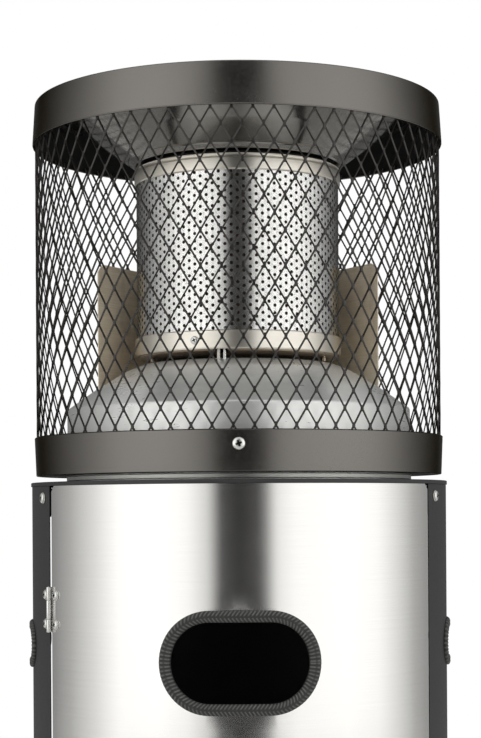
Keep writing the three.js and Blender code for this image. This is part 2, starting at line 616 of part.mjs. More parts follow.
// ---- Base, feet and wheels ----
function makeBase() {
  const plateBottom = FLOOR_PLATE_TOP - 2;
  const plateThickness = FLOOR_PLATE_TOP - plateBottom;
  let plate = solidOf(turned(sheetProfile([[0, plateBottom], [FLOOR_PLATE_R, plateBottom]], plateThickness)));
  for (const azimuth of [30, 90, 150, 210, 270, 330]) {
    const drain = new THREE.CylinderGeometry(12, 12, 20, 8).rotateX(Math.PI / 2);
    plate = plate.subtract(atAzimuth(solidOf(drain.translate(0, -185, plateBottom)), azimuth));
  }
  add("base_plate", plate, GALVANISED);

  const wall = 3;
  const lipR = BODY_R + 0.7;
  const ringLine = [
    [BASE_R - wall - 10, plateBottom - GAP - 2],
    [BASE_R - wall, plateBottom - GAP - 2],
    [BASE_R - wall, BASE_BOTTOM],
    [BASE_R, BASE_BOTTOM],
    [BASE_R, BASE_TOP],
    [lipR, BASE_TOP],
    [lipR, BASE_TOP - wall],
    [BASE_R - wall, BASE_TOP - wall],
    [BASE_R - wall, plateBottom - GAP],
    [BASE_R - wall - 10, plateBottom - GAP],
  ];
  let ring = solidOf(turned(ringLine));
  const notchHalf = WHEEL.width / 2 + 9;
  for (const side of [-1, 1]) {
    const x = side * WHEEL.x;
    const notch = box([x - notchHalf, 170, 0], [x + notchHalf, 260, plateBottom - 0.1]);
    ring = ring.subtract(solidOf(notch));
  }
  add("base_ring", ring, PLASTIC);

  const footTop = plateBottom - GAP;
  const foot = [[0, 0], [18, 0], [20, 3], [20, 12], [14, 18], [14, footTop], [0, footTop]];
  for (const [end, y] of [["front", -1], ["rear", 1]]) {
    for (const [side, x] of [["left", -1], ["right", 1]]) {
      const shape = turned(foot, 12).translate(x * FOOT_SPREAD, y * FOOT_SPREAD, 0);
      add(end + "_" + side + "_foot", shape, RUBBER);
    }
  }
  makeWheels(plateBottom - GAP);
}

function makeWheels(bracketTop) {
  const { r, width, x, y, z, boreR } = WHEEL;
  const half = width / 2;
  const near = [[boreR, -half], [r - 2, -half], [r, -half + 2]];
  const far = near.map(([radius, depth]) => [radius, -depth]).reverse();
  const profile = [...near, ...far];
  const cheek = 2;
  const outerHalf = half + 1 + cheek;
  for (const [side, turn] of [["left", -1], ["right", 1]]) {
    const wheel = turned(profile, 24).rotateY(Math.PI / 2).translate(turn * x, y, z);
    add(side + "_wheel", wheel, RUBBER);
    const low = [turn * x - outerHalf, y - 14, z - 8];
    const high = [turn * x + outerHalf, y + 12, bracketTop];
    const inside = box([low[0] + cheek, y - 40, 0], [high[0] - cheek, y + 40, bracketTop - 1.6]);
    const axleHole = crossRod(AXLE_R + 0.4, -x - 40, x + 40, y, z);
    const bracket = solidOf(box(low, high)).subtract(solidOf(inside)).subtract(solidOf(axleHole));
    add(side + "_wheel_bracket", bracket, GALVANISED);
  }
  add("wheel_axle", crossRod(AXLE_R, -x - outerHalf - 3, x + outerHalf + 3, y, z), ZINC);
}

makeGuard();
makeEmitter();
makeDome();
makeCabinet();
makeHinges();
makeControls();
makeBase();

export default heater;
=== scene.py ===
"""Looks for a column patio heater, built round its CAD frame.

Shapes are made in millimetres in the frame's own axes: +Z up, the door towards -Y. An azimuth is measured
round the column from the front (-Y) towards +X, in degrees.
"""

import math

import bmesh
import bpy
from mathutils import Matrix, Vector
from mathutils.geometry import delaunay_2d_cdt


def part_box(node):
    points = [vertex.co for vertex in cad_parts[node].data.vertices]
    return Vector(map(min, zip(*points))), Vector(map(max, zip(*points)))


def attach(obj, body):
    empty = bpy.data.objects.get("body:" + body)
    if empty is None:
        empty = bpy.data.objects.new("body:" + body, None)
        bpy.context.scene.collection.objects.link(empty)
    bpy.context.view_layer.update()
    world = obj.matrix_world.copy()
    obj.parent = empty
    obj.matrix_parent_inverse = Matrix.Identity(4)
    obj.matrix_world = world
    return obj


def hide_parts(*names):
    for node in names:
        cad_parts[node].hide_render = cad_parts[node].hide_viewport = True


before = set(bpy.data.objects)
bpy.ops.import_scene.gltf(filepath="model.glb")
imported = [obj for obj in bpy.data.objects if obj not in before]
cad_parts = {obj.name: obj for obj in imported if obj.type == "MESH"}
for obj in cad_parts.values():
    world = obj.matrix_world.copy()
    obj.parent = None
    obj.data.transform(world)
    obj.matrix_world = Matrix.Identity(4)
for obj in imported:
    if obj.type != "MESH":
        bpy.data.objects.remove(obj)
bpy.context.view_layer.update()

MM = 0.001
DEG = math.pi / 180
TURN = 2 * math.pi
ROUND = 192  # facets of the widest round parts
scene = bpy.context.scene


def low(node):
    """Lowest corner of a CAD node, in millimetres."""
    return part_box(node)[0] / MM


def high(node):
    """Highest corner of a CAD node, in millimetres."""
    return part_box(node)[1] / MM


def heights(node):
    """Lowest and highest level of a CAD node."""
    return low(node).z, high(node).z


def middle_z(node):
    return (low(node).z + high(node).z) / 2


# ---- Camera ----
def make_camera():
    data = bpy.data.cameras.new("camera")
    data.sensor_width = 36
    data.lens = 87.7
    data.shift_x = 0.0018
    data.shift_y = 0.191
    data.clip_end = 60
    camera = bpy.data.objects.new("camera", data)
    camera.location = (0, -1.99, 0.707)
    camera.rotation_euler = (math.pi / 2, 0.35 * DEG, 0)
    scene.collection.objects.link(camera)
    scene.camera = camera


make_camera()


# ---- Shape making ----
class Shape:
    """Points and faces gathered part by part, each face with the number of its material."""

    def __init__(self):
        self.points = []
        self.faces = []
        self.kinds = []
        self.tones = {}

    def add(self, points, faces, place=None, kind=0, tones=()):
        start = len(self.points)
        self.points += [place @ Vector(p) for p in points] if place else [Vector(p) for p in points]
        self.faces += [[start + i for i in face] for face in faces]
        self.kinds += kind if isinstance(kind, list) else [kind] * len(faces)
        self.tones.update({start + i: tone for i, tone in enumerate(tones)})
        return self

    def turn(self, profile, facets, place=None, kind=0, closed=True):
        """Adds a profile turned round Z."""
        return self.add(*turned(profile, facets, closed), place, kind)

    def block(self, corner, opposite, bevel=0.6, segments=2, place=None, kind=0):
        """Adds a block with rounded edges."""
        return self.add(*rounded_box(corner, opposite, bevel, segments), place, kind)

    def mesh(self, name):
        mesh = bpy.data.meshes.new(name)
        mesh.from_pydata([p * MM for p in self.points], [], self.faces)
        mesh.polygons.foreach_set("material_index", self.kinds)
        if self.tones:
            tone = mesh.attributes.new("tone", "FLOAT", "POINT")
            tone.data.foreach_set("value", [self.tones.get(i, 0) for i in range(len(self.points))])
        clean = bmesh.new()
        clean.from_mesh(mesh)
        bmesh.ops.remove_doubles(clean, verts=clean.verts, dist=1e-6)
        bmesh.ops.recalc_face_normals(clean, faces=clean.faces)
        clean.to_mesh(mesh)
        clean.free()
        return mesh


def piece(name, shape, finishes, body="root", sharp=32):
    """Makes a shape an object that rides on a body and stands for the CAD node of its name."""
    mesh = shape.mesh(name)
    mesh.shade_smooth()
    mesh.set_sharp_from_angle(angle=sharp * DEG)
    for finish in finishes if isinstance(finishes, list) else [finishes]:
        mesh.materials.append(finish)
    made = bpy.data.objects.new("v_" + name, mesh)
    scene.collection.objects.link(made)
    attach(made, body)
    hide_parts(name)


def azimuth_turn(azimuth):
    return Matrix.Rotation(azimuth * DEG, 4, "Z")


def on_wall(radius, azimuth, z):
    """Places a shape made round +Z so that its axis points out of the column at the given place."""
    return azimuth_turn(azimuth) @ Matrix.Translation((0, -radius, z)) @ Matrix.Rotation(90 * DEG, 4, "X")


def grid_faces(rows, columns, wrap_rows=False, wrap_columns=False):
    faces = []
    for row in range(rows if wrap_rows else rows - 1):
        here, above = row * columns, (row + 1) % rows * columns
        for column in range(columns if wrap_columns else columns - 1):
            side = (column + 1) % columns
            faces.append((here + column, here + side, above + side, above + column))
    return faces


def turned(profile, facets=160, closed=True):
    """A profile of (radius, z) turned round Z. A closed profile joins its last point to its first."""
    points = []
    for step in range(facets):
        angle = TURN * step / facets
        points += [(r * math.cos(angle), r * math.sin(angle), z) for r, z in profile]
    return points, grid_faces(facets, len(profile), wrap_rows=True, wrap_columns=closed)


def rounded(line, radii, steps=5, closed=False):
    """Rounds the corners of a flat line. radii is one radius for all corners or one for each point."""
    count = len(line)
    radii = radii if isinstance(radii, list) else [radii] * count
    result = []
    for i, point in enumerate(line):
        here = Vector(point)
        before = Vector(line[i - 1]) - here
        after = Vector(line[(i + 1) % count]) - here
        at_end = not closed and i in (0, count - 1)
        if at_end or radii[i] <= 0 or before.angle(after) > 179 * DEG:
            result.append(tuple(here))
            continue
        reach = min(radii[i] / math.tan(before.angle(after) / 2), 0.49 * before.length, 0.49 * after.length)
        start = here + before.normalized() * reach
        end = here + after.normalized() * reach
        for step in range(steps + 1):
            t = step / steps
            result.append(tuple(start * (1 - t) ** 2 + here * 2 * t * (1 - t) + end * t * t))
    return result


def oblong(left, bottom, right, top):
    return [(left, bottom), (right, bottom), (right, top), (left, top)]


def sheet(line, thickness):
    """The closed profile of a sheet on the left of a line."""
    points = [Vector(p) for p in line]
    steps = [(b - a).normalized() for a, b in zip(points, points[1:])]
    back = []
    for i, point in enumerate(points):
        before = steps[max(i - 1, 0)]
        after = steps[min(i, len(steps) - 1)]
        scale = thickness / (1 + before.dot(after))
        back.append((point.x - (before.y + after.y) * scale, point.y + (before.x + after.x) * scale))
    return [tuple(p) for p in points] + back[::-1]


def tube_faces(rings, count):
    """Faces of a tube through rings of points, closed at both ends."""
    faces = grid_faces(rings, count, wrap_columns=True)
    return faces + [tuple(range(count))[::-1], tuple(range((rings - 1) * count, rings * count))]


def swept(section, path, up=(1, 0, 0)):
    """A closed section of (x, y) carried along a path, turning as little as possible."""
    path = [Vector(p) for p in path]
    points = []
    side = Vector(up)
    for i, point in enumerate(path):
        along = (path[min(i + 1, len(path) - 1)] - path[max(i - 1, 0)]).normalized()
        side = (side - along * side.dot(along)).normalized()
        other = along.cross(side)
        place = Matrix.Translation(point) @ Matrix((side, other, along)).transposed().to_4x4()
        points += [place @ Vector((x, y, 0)) for x, y in section]
    return points, tube_faces(len(path), len(section))


def circle(radius, count, middle=(0, 0)):
    return [
        (middle[0] + radius * math.cos(TURN * i / count), middle[1] + radius * math.sin(TURN * i / count))
        for i in range(count)
    ]


def rounded_box(corner, opposite, bevel, segments):
    lowest = Vector(map(min, corner, opposite))
    highest = Vector(map(max, corner, opposite))
    made = bmesh.new()
    bmesh.ops.create_cube(made, size=1)
    bmesh.ops.scale(made, vec=highest - lowest, verts=made.verts)
    bmesh.ops.translate(made, vec=(highest + lowest) / 2, verts=made.verts)
    bmesh.ops.bevel(made, geom=made.edges, offset=bevel, segments=segments, affect="EDGES", profile=0.5)
    made.verts.ensure_lookup_table()
    points = [v.co.copy() for v in made.verts]
    faces = [[v.index for v in face.verts] for face in made.faces]
    made.free()
    return points, faces


def inside(loop, u, v):
    """True if the point lies in the flat loop."""
    found = False
    for (au, av), (bu, bv) in zip(loop, loop[1:] + loop[:1]):
        if (av > v) != (bv > v) and u < (bu - au) * (v - av) / (bv - av) + au:
            found = not found
    return found


def thickened(faces, count):
    """Faces of a sheet's front, of its back, whose points come count later, and of its edges."""
    used = {}
    for face in faces:
        for pair in zip(face, face[1:] + face[:1]):
            used.setdefault(frozenset(pair), []).append(pair)
    edges = [pairs[0] for pairs in used.values() if len(pairs) == 1]
    back = [tuple(i + count for i in face[::-1]) for face in faces]
    return faces + back + [(b, a, a + count, b + count) for a, b in edges]


def cut_sheet(outline, holes, grid, front, back):
    """A sheet with holes. It's triangulated flat; front and back place a flat point on its two faces."""
    flat = []
    edges = []
    for loop in [outline, *holes]:
        start = len(flat)
        edges += [(start + i, start + (i + 1) % len(loop)) for i in range(len(loop))]
        flat += [Vector(p) for p in loop]

    def solid(u, v):
        return inside(outline, u, v) and not any(inside(hole, u, v) for hole in holes)

    margin = 1.5
    border = flat[: len(outline)]
    for u, v in grid:
        near = any((Vector((u, v)) - p).length_squared < margin * margin for p in border)
        if not near and solid(u, v):
            flat.append(Vector((u, v)))
    found = delaunay_2d_cdt(flat, edges, [], 0, 1e-5)
    places, triangles = found[0], found[2]
    kept = []
    for face in triangles:
        if solid(*(sum((places[i] for i in face), Vector((0, 0))) / len(face))):
            kept.append(tuple(face))
    points = [front(*p) for p in places] + [back(*p) for p in places]
    faces = thickened(kept, len(places))
    referenced = sorted({i for face in faces for i in face})
    renumber = {old: new for new, old in enumerate(referenced)}
    return [points[i] for i in referenced], [[renumber[i] for i in face] for face in faces]


def oval(width, height, middle=0, steps=24):
    """A slot with round ends, anticlockwise from its right end's lowest point."""
    r = height / 2
    straight = width / 2 - r
    points = []
    for side in (1, -1):
        for step in range(steps + 1):
            angle = (-90 + 180 * step / steps) * DEG
            points.append((side * (straight + r * math.cos(angle)), middle + side * r * math.sin(angle)))
    return points


def subtracted(shape, cutters):
    """Points and faces of a shape with closed shapes cut out of it."""
    objects = [bpy.data.objects.new("cut", part.mesh("cut")) for part in [shape, *cutters]]
    body = objects[0]
    for made in objects:
        scene.collection.objects.link(made)
        if made is not body:
            cut = body.modifiers.new("cut", "BOOLEAN")
            cut.operation = "DIFFERENCE"
            cut.object = made
            cut.solver = "EXACT"
    bpy.context.view_layer.update()
    mesh = bpy.data.meshes.new_from_object(body.evaluated_get(bpy.context.evaluated_depsgraph_get()))
    for made in objects:
        bpy.data.objects.remove(made)
    return [v.co / MM for v in mesh.vertices], [list(face.vertices) for face in mesh.polygons]


# ---- Finishes ----
class Nodes:
    """A node tree built node by node."""

    def __init__(self, tree):
        self.tree = tree

    def put(self, socket, value):
        if isinstance(value, bpy.types.NodeSocket):
            self.tree.links.new(value, socket)
        else:
            socket.default_value = value

    def node(self, kind, inputs=None, **settings):
        node = self.tree.nodes.new(kind)
        for key, value in settings.items():
            setattr(node, key, value)
        for key, value in (inputs or {}).items():
            self.put(node.inputs[key], value)
        return node

    def ramp(self, value, *stops):
        """A colour or grey for each position of the value."""
        node = self.node("ShaderNodeValToRGB", {"Fac": value})
        elements = node.color_ramp.elements
        while len(elements) < len(stops):
            elements.new(0.5)
        for element, (position, color) in zip(elements, stops):
            element.position = position
            element.color = (*color, 1) if isinstance(color, tuple) else (color, color, color, 1)
        return node.outputs["Color"]

    def mix(self, factor, first, second):
        node = self.node("ShaderNodeMix", data_type="RGBA")
        for index, value in ((0, factor), (6, first), (7, second)):
            self.put(node.inputs[index], (*value, 1) if isinstance(value, tuple) else value)
        return node.outputs[2]

    def math(self, operation, first, second):
        return self.node("ShaderNodeMath", {0: first, 1: second}, operation=operation).outputs[0]


class Finish(Nodes):
    """A material, with the shader's sockets named with underscores for spaces."""

    def __init__(self, name, color, roughness, metallic=0.0, **fixed):
        self.material = bpy.data.materials.new(name)
        self.material.use_nodes = True
        super().__init__(self.material.node_tree)
        self.shader = self.tree.nodes["Principled BSDF"]
        self.set(Base_Color=(*color, 1), Roughness=roughness, Metallic=metallic, **fixed)
        self.place = self.node("ShaderNodeTexCoord").outputs["Object"]

    def set(self, **values):
        for socket, value in values.items():
            self.put(self.shader.inputs[socket.replace("_", " ")], value)
        return self.material

    def noise(self, scale, detail=4.0, roughness=0.6, shift=0.0):
        """Noise between 0 and 1 with a scale for each axis, per metre."""
        scale = scale if isinstance(scale, tuple) else (scale,) * 3
        mapped = {"Vector": self.place, "Scale": scale, "Location": (shift, shift * 1.7, shift * 0.3)}
        mapped = self.node("ShaderNodeMapping", mapped).outputs[0]
        look = {"Vector": mapped, "Scale": 1.0, "Detail": detail, "Roughness": roughness}
        return self.node("ShaderNodeTexNoise", look).outputs["Fac"]

    def patch(self, value, start, full, share, under, over):
        """Lays one colour over another where a value is high."""
        return self.mix(self.ramp(value, (start, 0.0), (full, share)), under, over)

    def spread(self, lowest, highest, value, second=None):
        """Stretches a value, or two taken three to two, over a range."""
        if second:
            value = self.math("ADD", self.math("MULTIPLY", value, 0.6), self.math("MULTIPLY", second, 0.4))
        reach = {"Value": value, "From Min": 0.3, "From Max": 0.7, "To Min": lowest, "To Max": highest}
        return self.node("ShaderNodeMapRange", reach).outputs[0]

    def bump(self, height, distance, strength=1.0, under=None):
        inputs = {"Height": height, "Distance": distance, "Strength": strength}
        if under:
            inputs["Normal"] = under
        return self.node("ShaderNodeBump", inputs).outputs[0]


def scaled(color, gain, lift=0.0):
    return tuple(min(1.0, c * gain + lift) for c in color)


def brushed(name, color, roughness, across=9.0, along=1900.0, anisotropic=0.8, depth=2e-5, tint=None,
            spread=0.06, metallic=1.0):
    """Steel brushed round the column's axis, with blotches of a second colour."""
    g = Finish(name, color, roughness, metallic, Anisotropic=anisotropic, Anisotropic_Rotation=0.25)
    lines = g.noise((across, across, along), detail=5, roughness=0.7)
    scratches = g.noise((across * 4, across * 4, along * 2.3), detail=2, shift=3.1)
    blotches = g.noise(14.0, detail=3, shift=1.3)
    tone = g.patch(lines, 0.35, 0.65, 1.0, scaled(color, 0.955), color)
    return g.set(
        Base_Color=g.patch(blotches, 0.45, 0.75, 0.5, tone, tint or color),
        Roughness=g.spread(roughness - spread, roughness + spread, lines, blotches),
        Normal=g.bump(scratches, depth, 0.6, g.bump(lines, depth)),
        Tangent=g.node("ShaderNodeTangent", direction_type="RADIAL", axis="Z").outputs[0],
    )


def coated(name, color, roughness, metallic=0.0, grain=2200.0, depth=4e-5, light=None, **fixed):
    """Paint or plating: fine orange peel, faint cloudiness and lighter worn spots."""
    g = Finish(name, color, roughness, metallic, **fixed)
    clouds = g.noise(9.0, detail=5, shift=2.2)
    dust = g.noise(340.0, detail=4, roughness=0.7, shift=4.0)
    light = light or scaled(color, 1.35, 0.004)
    base = g.patch(clouds, 0.35, 0.7, 0.55, color, light)
    return g.set(
        Base_Color=g.patch(dust, 0.6, 0.8, 0.35, base, light),
        Roughness=g.spread(max(0.03, roughness - 0.07), roughness + 0.09, clouds, dust),
        Normal=g.bump(g.noise(grain, detail=3, roughness=0.55), depth, 0.8),
    )


def polished(name, color, roughness, waviness, wave, stain, stain_share, **fixed):
    """Bright sheet that isn't quite flat, with stains from heat and handling."""
    g = Finish(name, color, roughness, 1.0, **fixed)
    stains = g.noise(38.0, detail=6, roughness=0.68, shift=5.0)
    specks = g.noise(420.0, detail=3, shift=7.7)
    tone = g.patch(stains, 0.5, 0.72, stain_share, color, stain)
    return g.set(
        Base_Color=g.patch(specks, 0.66, 0.8, 0.12, tone, scaled(color, 0.7)),
        Roughness=g.spread(roughness * 0.85, roughness * 1.25 + 0.01, stains),
        Normal=g.bump(g.noise(wave, detail=2, roughness=0.4), waviness),
    )


def heat_tinted(name, straw, bronze, roughness=0.3, scale=20.0, metallic=1.0, soot=0.3):
    """Steel coloured by heat: straw turning to bronze and blue-brown in clouds, with soot."""
    g = Finish(name, straw, roughness, metallic)
    clouds = g.noise(scale, detail=5, roughness=0.6)
    wisps = g.noise((scale * 2, scale * 2, scale * 0.7), detail=4, shift=2.4)
    brush = g.noise((6.0, 6.0, 900.0), detail=4, shift=1.1)
    dirt = g.noise(scale * 3.5, detail=6, roughness=0.72, shift=6.0)
    tone = g.patch(clouds, 0.38, 0.62, 1.0, straw, bronze)
    tone = g.patch(wisps, 0.56, 0.7, 0.35, tone, (0.16, 0.13, 0.14))
    tone = g.patch(dirt, 0.55, 0.78, soot, tone, (0.05, 0.04, 0.035))
    return g.set(
        Base_Color=g.mix(g.ramp(brush, (0.35, 0.18), (0.65, 0.0)), tone, (0.08, 0.07, 0.06)),
        Roughness=g.spread(roughness - 0.08, roughness + 0.14, dirt),
        Normal=g.bump(clouds, 1.5e-4, 0.8, g.bump(brush, 3e-5)),
    )


def ribbed_rubber(name):
    """Woven-look rubber on black, by the ribs' own height: grey crests as a painted highlight and black grooves
    as painted shade, varied by wear.
    """
    g = Finish(name, (0.012, 0.012, 0.012), 0.62)
    crest = g.node("ShaderNodeAttribute", attribute_name="tone").outputs["Fac"]
    wear = g.noise(160.0, detail=4, shift=1.9)
    lit = g.patch(wear, 0.35, 0.7, 1.0, (0.078, 0.078, 0.074), (0.125, 0.125, 0.12))
    return g.set(
        Base_Color=g.patch(crest, 0.45, 0.85, 1.0, (0.02, 0.02, 0.019), lit),
        Roughness=g.spread(0.5, 0.72, wear),
        Normal=g.bump(g.noise(2600.0, detail=2), 6e-5, 0.8),
    )


def moulded(name, color, roughness, grain=1500.0, depth=6e-5, coat=0.0):
    """Plastic or rubber with a moulded grain, scuffed lighter in patches."""
    g = Finish(name, color, roughness, 0.0, Coat_Weight=coat)
    scuffs = g.noise(60.0, detail=6, roughness=0.7, shift=3.3)
    return g.set(
        Base_Color=g.patch(scuffs, 0.5, 0.75, 0.5, color, scaled(color, 1.8, 0.012)),
        Roughness=g.spread(roughness - 0.06, roughness + 0.1, scuffs),
        Normal=g.bump(g.noise(grain, detail=3, roughness=0.6), depth, 0.9),
    )


def spangled(name, color):
    """Galvanised sheet with its crystals."""
    g = Finish(name, color, 0.42, 1.0)
    cells = g.node("ShaderNodeTexVoronoi", {"Vector": g.place, "Scale": 130.0}).outputs["Color"]
    level = g.node("ShaderNodeSeparateColor", {"Color": cells}).outputs[0]
    tone = g.mix(level, color, scaled(color, 1.3))
    return g.set(
        Base_Color=g.patch(g.noise(30.0, detail=5), 0.4, 0.8, 0.5, tone, (0.3, 0.3, 0.29)),
        Roughness=g.math("ADD", 0.32, g.math("MULTIPLY", level, 0.2)),
        Normal=g.bump(level, 2e-5, 0.5),
    )


DOOR_STEEL = brushed("door_steel", (0.785, 0.776, 0.76), 0.15, anisotropic=0.6, depth=6e-6, spread=0.03)
EMITTER_STEEL = polished("emitter_steel", (0.82, 0.815, 0.8), 0.15, 1e-5, 18.0, (0.66, 0.63, 0.58), 0.15,
                         Specular_Tint=(0.4, 0.4, 0.4, 1))
WARM_STEEL = brushed("warm_steel", (0.88, 0.84, 0.76), 0.3, along=900.0, anisotropic=0.5, depth=1e-5,
                     tint=(0.78, 0.7, 0.58), spread=0.04)
MIRROR_STEEL = polished("mirror_steel", (0.26, 0.25, 0.235), 0.12, 8e-6, 12.0, (0.19, 0.175, 0.155), 0.18)
GAUZE = coated("gauze", (0.085, 0.062, 0.045), 0.5, 0.6, depth=2e-5)
TINTED_STEEL = heat_tinted("tinted_steel", (0.5, 0.42, 0.32), (0.32, 0.25, 0.19))
SHIELD_STEEL = heat_tinted("shield_steel", (0.98, 0.87, 0.69), (0.8, 0.67, 0.5), 0.38, 11.0, 0.08, 0.15)
BURNER_STEEL = heat_tinted("burner_steel", (0.2, 0.18, 0.17), (0.12, 0.08, 0.07), 0.4)
DOME_STEEL = brushed("dome_steel", (0.88, 0.885, 0.87), 0.3, 40.0, 260.0, anisotropic=0.3, depth=4e-6,
                     tint=(0.82, 0.82, 0.79), spread=0.05, metallic=0.62)
GUNMETAL = coated("gunmetal", (0.155, 0.147, 0.137), 0.22, 1.0, depth=4e-6, light=(0.178, 0.169, 0.157),
                  Specular_Tint=(0.25, 0.24, 0.22, 1))
GUARD_COAT = coated("guard_coat", (0.05, 0.048, 0.046), 0.34, 1.0, depth=4e-6, light=(0.07, 0.067, 0.063),
                    Specular_Tint=(0.3, 0.29, 0.27, 1))
# Near-black: scorching on the emitter cap, and painted shade in screw recesses, inside the top cap and in the
# door slit.
SCORCH_AND_SHADE_BLACK = coated("scorch_and_painted_shade", (0.006, 0.006, 0.006), 0.8)
BLACK_COAT = coated("black_coat", (0.018, 0.018, 0.019), 0.5, grain=1300.0, depth=1e-4)
NECK_COAT = coated("neck_coat", (0.74, 0.745, 0.71), 0.38, 1.0)
TRIM_RUBBER = ribbed_rubber("trim_rubber")
ZINC = coated("zinc", (0.76, 0.76, 0.75), 0.27, 1.0, grain=900.0, depth=6e-6, light=(0.8, 0.78, 0.71))
BRASS = coated("brass", (0.6, 0.42, 0.17), 0.3, 1.0, grain=700.0, depth=2e-5, light=(0.66, 0.5, 0.26))
CERAMIC = moulded("ceramic", (0.8, 0.77, 0.7), 0.3, depth=2e-5, coat=0.5)
PLASTIC = moulded("black_plastic", (0.022, 0.022, 0.024), 0.48)
FOOT_RUBBER = moulded("foot_rubber", (0.018, 0.018, 0.018), 0.7, grain=900.0, depth=1.2e-4)
WHITE_PAINT = moulded("white_paint", (0.75, 0.75, 0.73), 0.5)
GALVANISED = spangled("galvanised", (0.5, 0.52, 0.53))


# ---- Screws ----
def cross_head(radius, height, washer=0.0):
    """A domed screw head with a cross recess, on z = 0 or on a flat washer of the radius given. The recess faces
    take the second finish, near-black as painted shade.
    """
    lift = 0.7 if washer else 0.0
    dome = [(0, lift), (radius * 0.97, lift), (radius, lift + height * 0.3)]
    for step in range(1, 7):
        angle = 90 * DEG * step / 6
        out = radius * math.cos(angle) ** 0.8 if step < 6 else 0
        dome.append((out, lift + height * (0.3 + 0.7 * math.sin(angle))))
    floor = lift + height - height * 0.9
    cutters = []
    for turn in (20, 110):
        block = []
        for z, taper in ((floor, 0.45), (height + 3, 1.15)):
            arm, width = radius * 0.64 * taper, radius * 0.2 * taper
            block += [(x, y, z) for x, y in oblong(-arm, -width, arm, width)]
        cutters.append(Shape().add(block, tube_faces(2, 4), azimuth_turn(turn)))
    points, faces = subtracted(Shape().turn(dome, 40), cutters)
    recess = []
    for face in faces:
        middle = sum((points[i] for i in face), Vector()) / len(face)
        share = min(1.0, math.hypot(middle.x, middle.y) / radius)
        surface = lift + height * (0.3 + 0.7 * math.sqrt(1 - share**2.5))
        # Faces down in the cross recess take the near-black second finish: painted shade in the recess.
        recess.append(int(share < 0.75 and lift + 0.05 < middle.z < surface - 0.12 * height))
    shape = Shape().add(points, faces, kind=recess)
    if washer:
        shape.turn(rounded(oblong(radius * 0.5, 0, washer, 0.7), 0.25, 2, closed=True), 40)
    return shape


def add_screw(shape, head, radius, azimuth, z, shank, lift=0.2, facets=24):
    """Adds a screw in the wall. shank is its length, tip radius and root radius."""
    length, tip, root = shank
    shape.add(head.points, head.faces, on_wall(radius + lift, azimuth, z), head.kinds)
    return shape.turn([(0, -length), (tip, -length), (root, 0), (0, 0)], facets, on_wall(radius, azimuth, z))


def make_screws():
    shell_head = cross_head(5.3, 2.6, washer=6.1)
    shell = high("base_ring").x - 8.5
    for node, head, radius, azimuth, shank in (
        ("guard_band_screw", cross_head(6.5, 3.4), high("guard_lower_band").x, 0, (9, 2.6, 2.8)),
        ("left_shell_screw", shell_head, shell, -BRACKET_AZ, (7, 2, 2.1)),
        ("right_shell_screw", shell_head, shell, BRACKET_AZ, (7, 2, 2.1)),
        ("emitter_ring_screw", cross_head(4.4, 2.4), high("emitter_bottom_ring").x, -23.6, (1.5, 2, 2)),
    ):
        piece(node, add_screw(Shape(), head, radius, azimuth, middle_z(node), shank), [ZINC, SCORCH_AND_SHADE_BLACK])


# ---- Guard and reflector ----
def make_cap():
    bottom, top = heights("top_cap")
    rim = high("top_cap").x
    line = [(rim - 0.6, bottom + 0.9), (rim, bottom + 1.6), (rim - 2.7, top), (170, top), (164, top - 1.8),
            (158, top), (14, top), (0, top)]
    line = rounded(line, [0, 1.2, 1.6, 3, 3, 3, 1, 0])
    profile = sheet(line, 1.2)
    points, faces = turned(profile, ROUND)
    # The cap's inner faces take the near-black second finish: its black paint darkened further as painted shade
    # inside the cap.
    inner = [int(i % len(profile) >= len(line) - 1) for i in range(len(faces))]
    shape = Shape().add(points, faces, kind=inner)
    shape.turn(circle(0.9, 10, (rim - 0.9, bottom + 0.95)), ROUND)
    rivet = rounded([(0, 0), (4.2, 0), (4.2, 0.4), (2.6, 1.4), (0, 1.6)], [0, 0, 0.3, 1.0, 0], 4)
    for azimuth in (60, 180, 300):
        place = azimuth_turn(azimuth) @ Matrix.Translation((0, -90, top - 0.5))
        shape.turn(rivet, 28, place, closed=False)
    piece("top_cap", shape, [GUNMETAL, SCORCH_AND_SHADE_BLACK])

    lip, rim_z = heights("reflector_cone")
    line = [(0, lip), (108, lip), (113.5, lip - 0.2), (115.6, lip + 1.2), (118, lip + 4.2), (119.4, lip + 5.4),
            (121.6, lip + 6.2), (150, lip + 25.5), (185, rim_z - 12.2), (200, rim_z - 1), (207, rim_z - 1)]
    line = rounded(line, [0, 3, 1.5, 1.5, 1.2, 1.2, 1.5, 60, 12, 5, 0])
    piece("reflector_cone", Shape().turn(sheet(line, 1.0), ROUND), MIRROR_STEEL)


def strand(start, end, half_width, half_depth, tilt):
    """A flat bar between two points of the guard's wall."""
    along = (end - start).normalized()
    out = Vector((start.x + end.x, start.y + end.y, 0)).normalized()
    across = Matrix.Rotation(tilt, 3, along) @ along.cross(out)
    out = across.cross(along)
    corners = oblong(-half_width, -half_depth, half_width, half_depth)
    return [p + across * a + out * b for p in (start, end) for a, b in corners], tube_faces(2, 4)


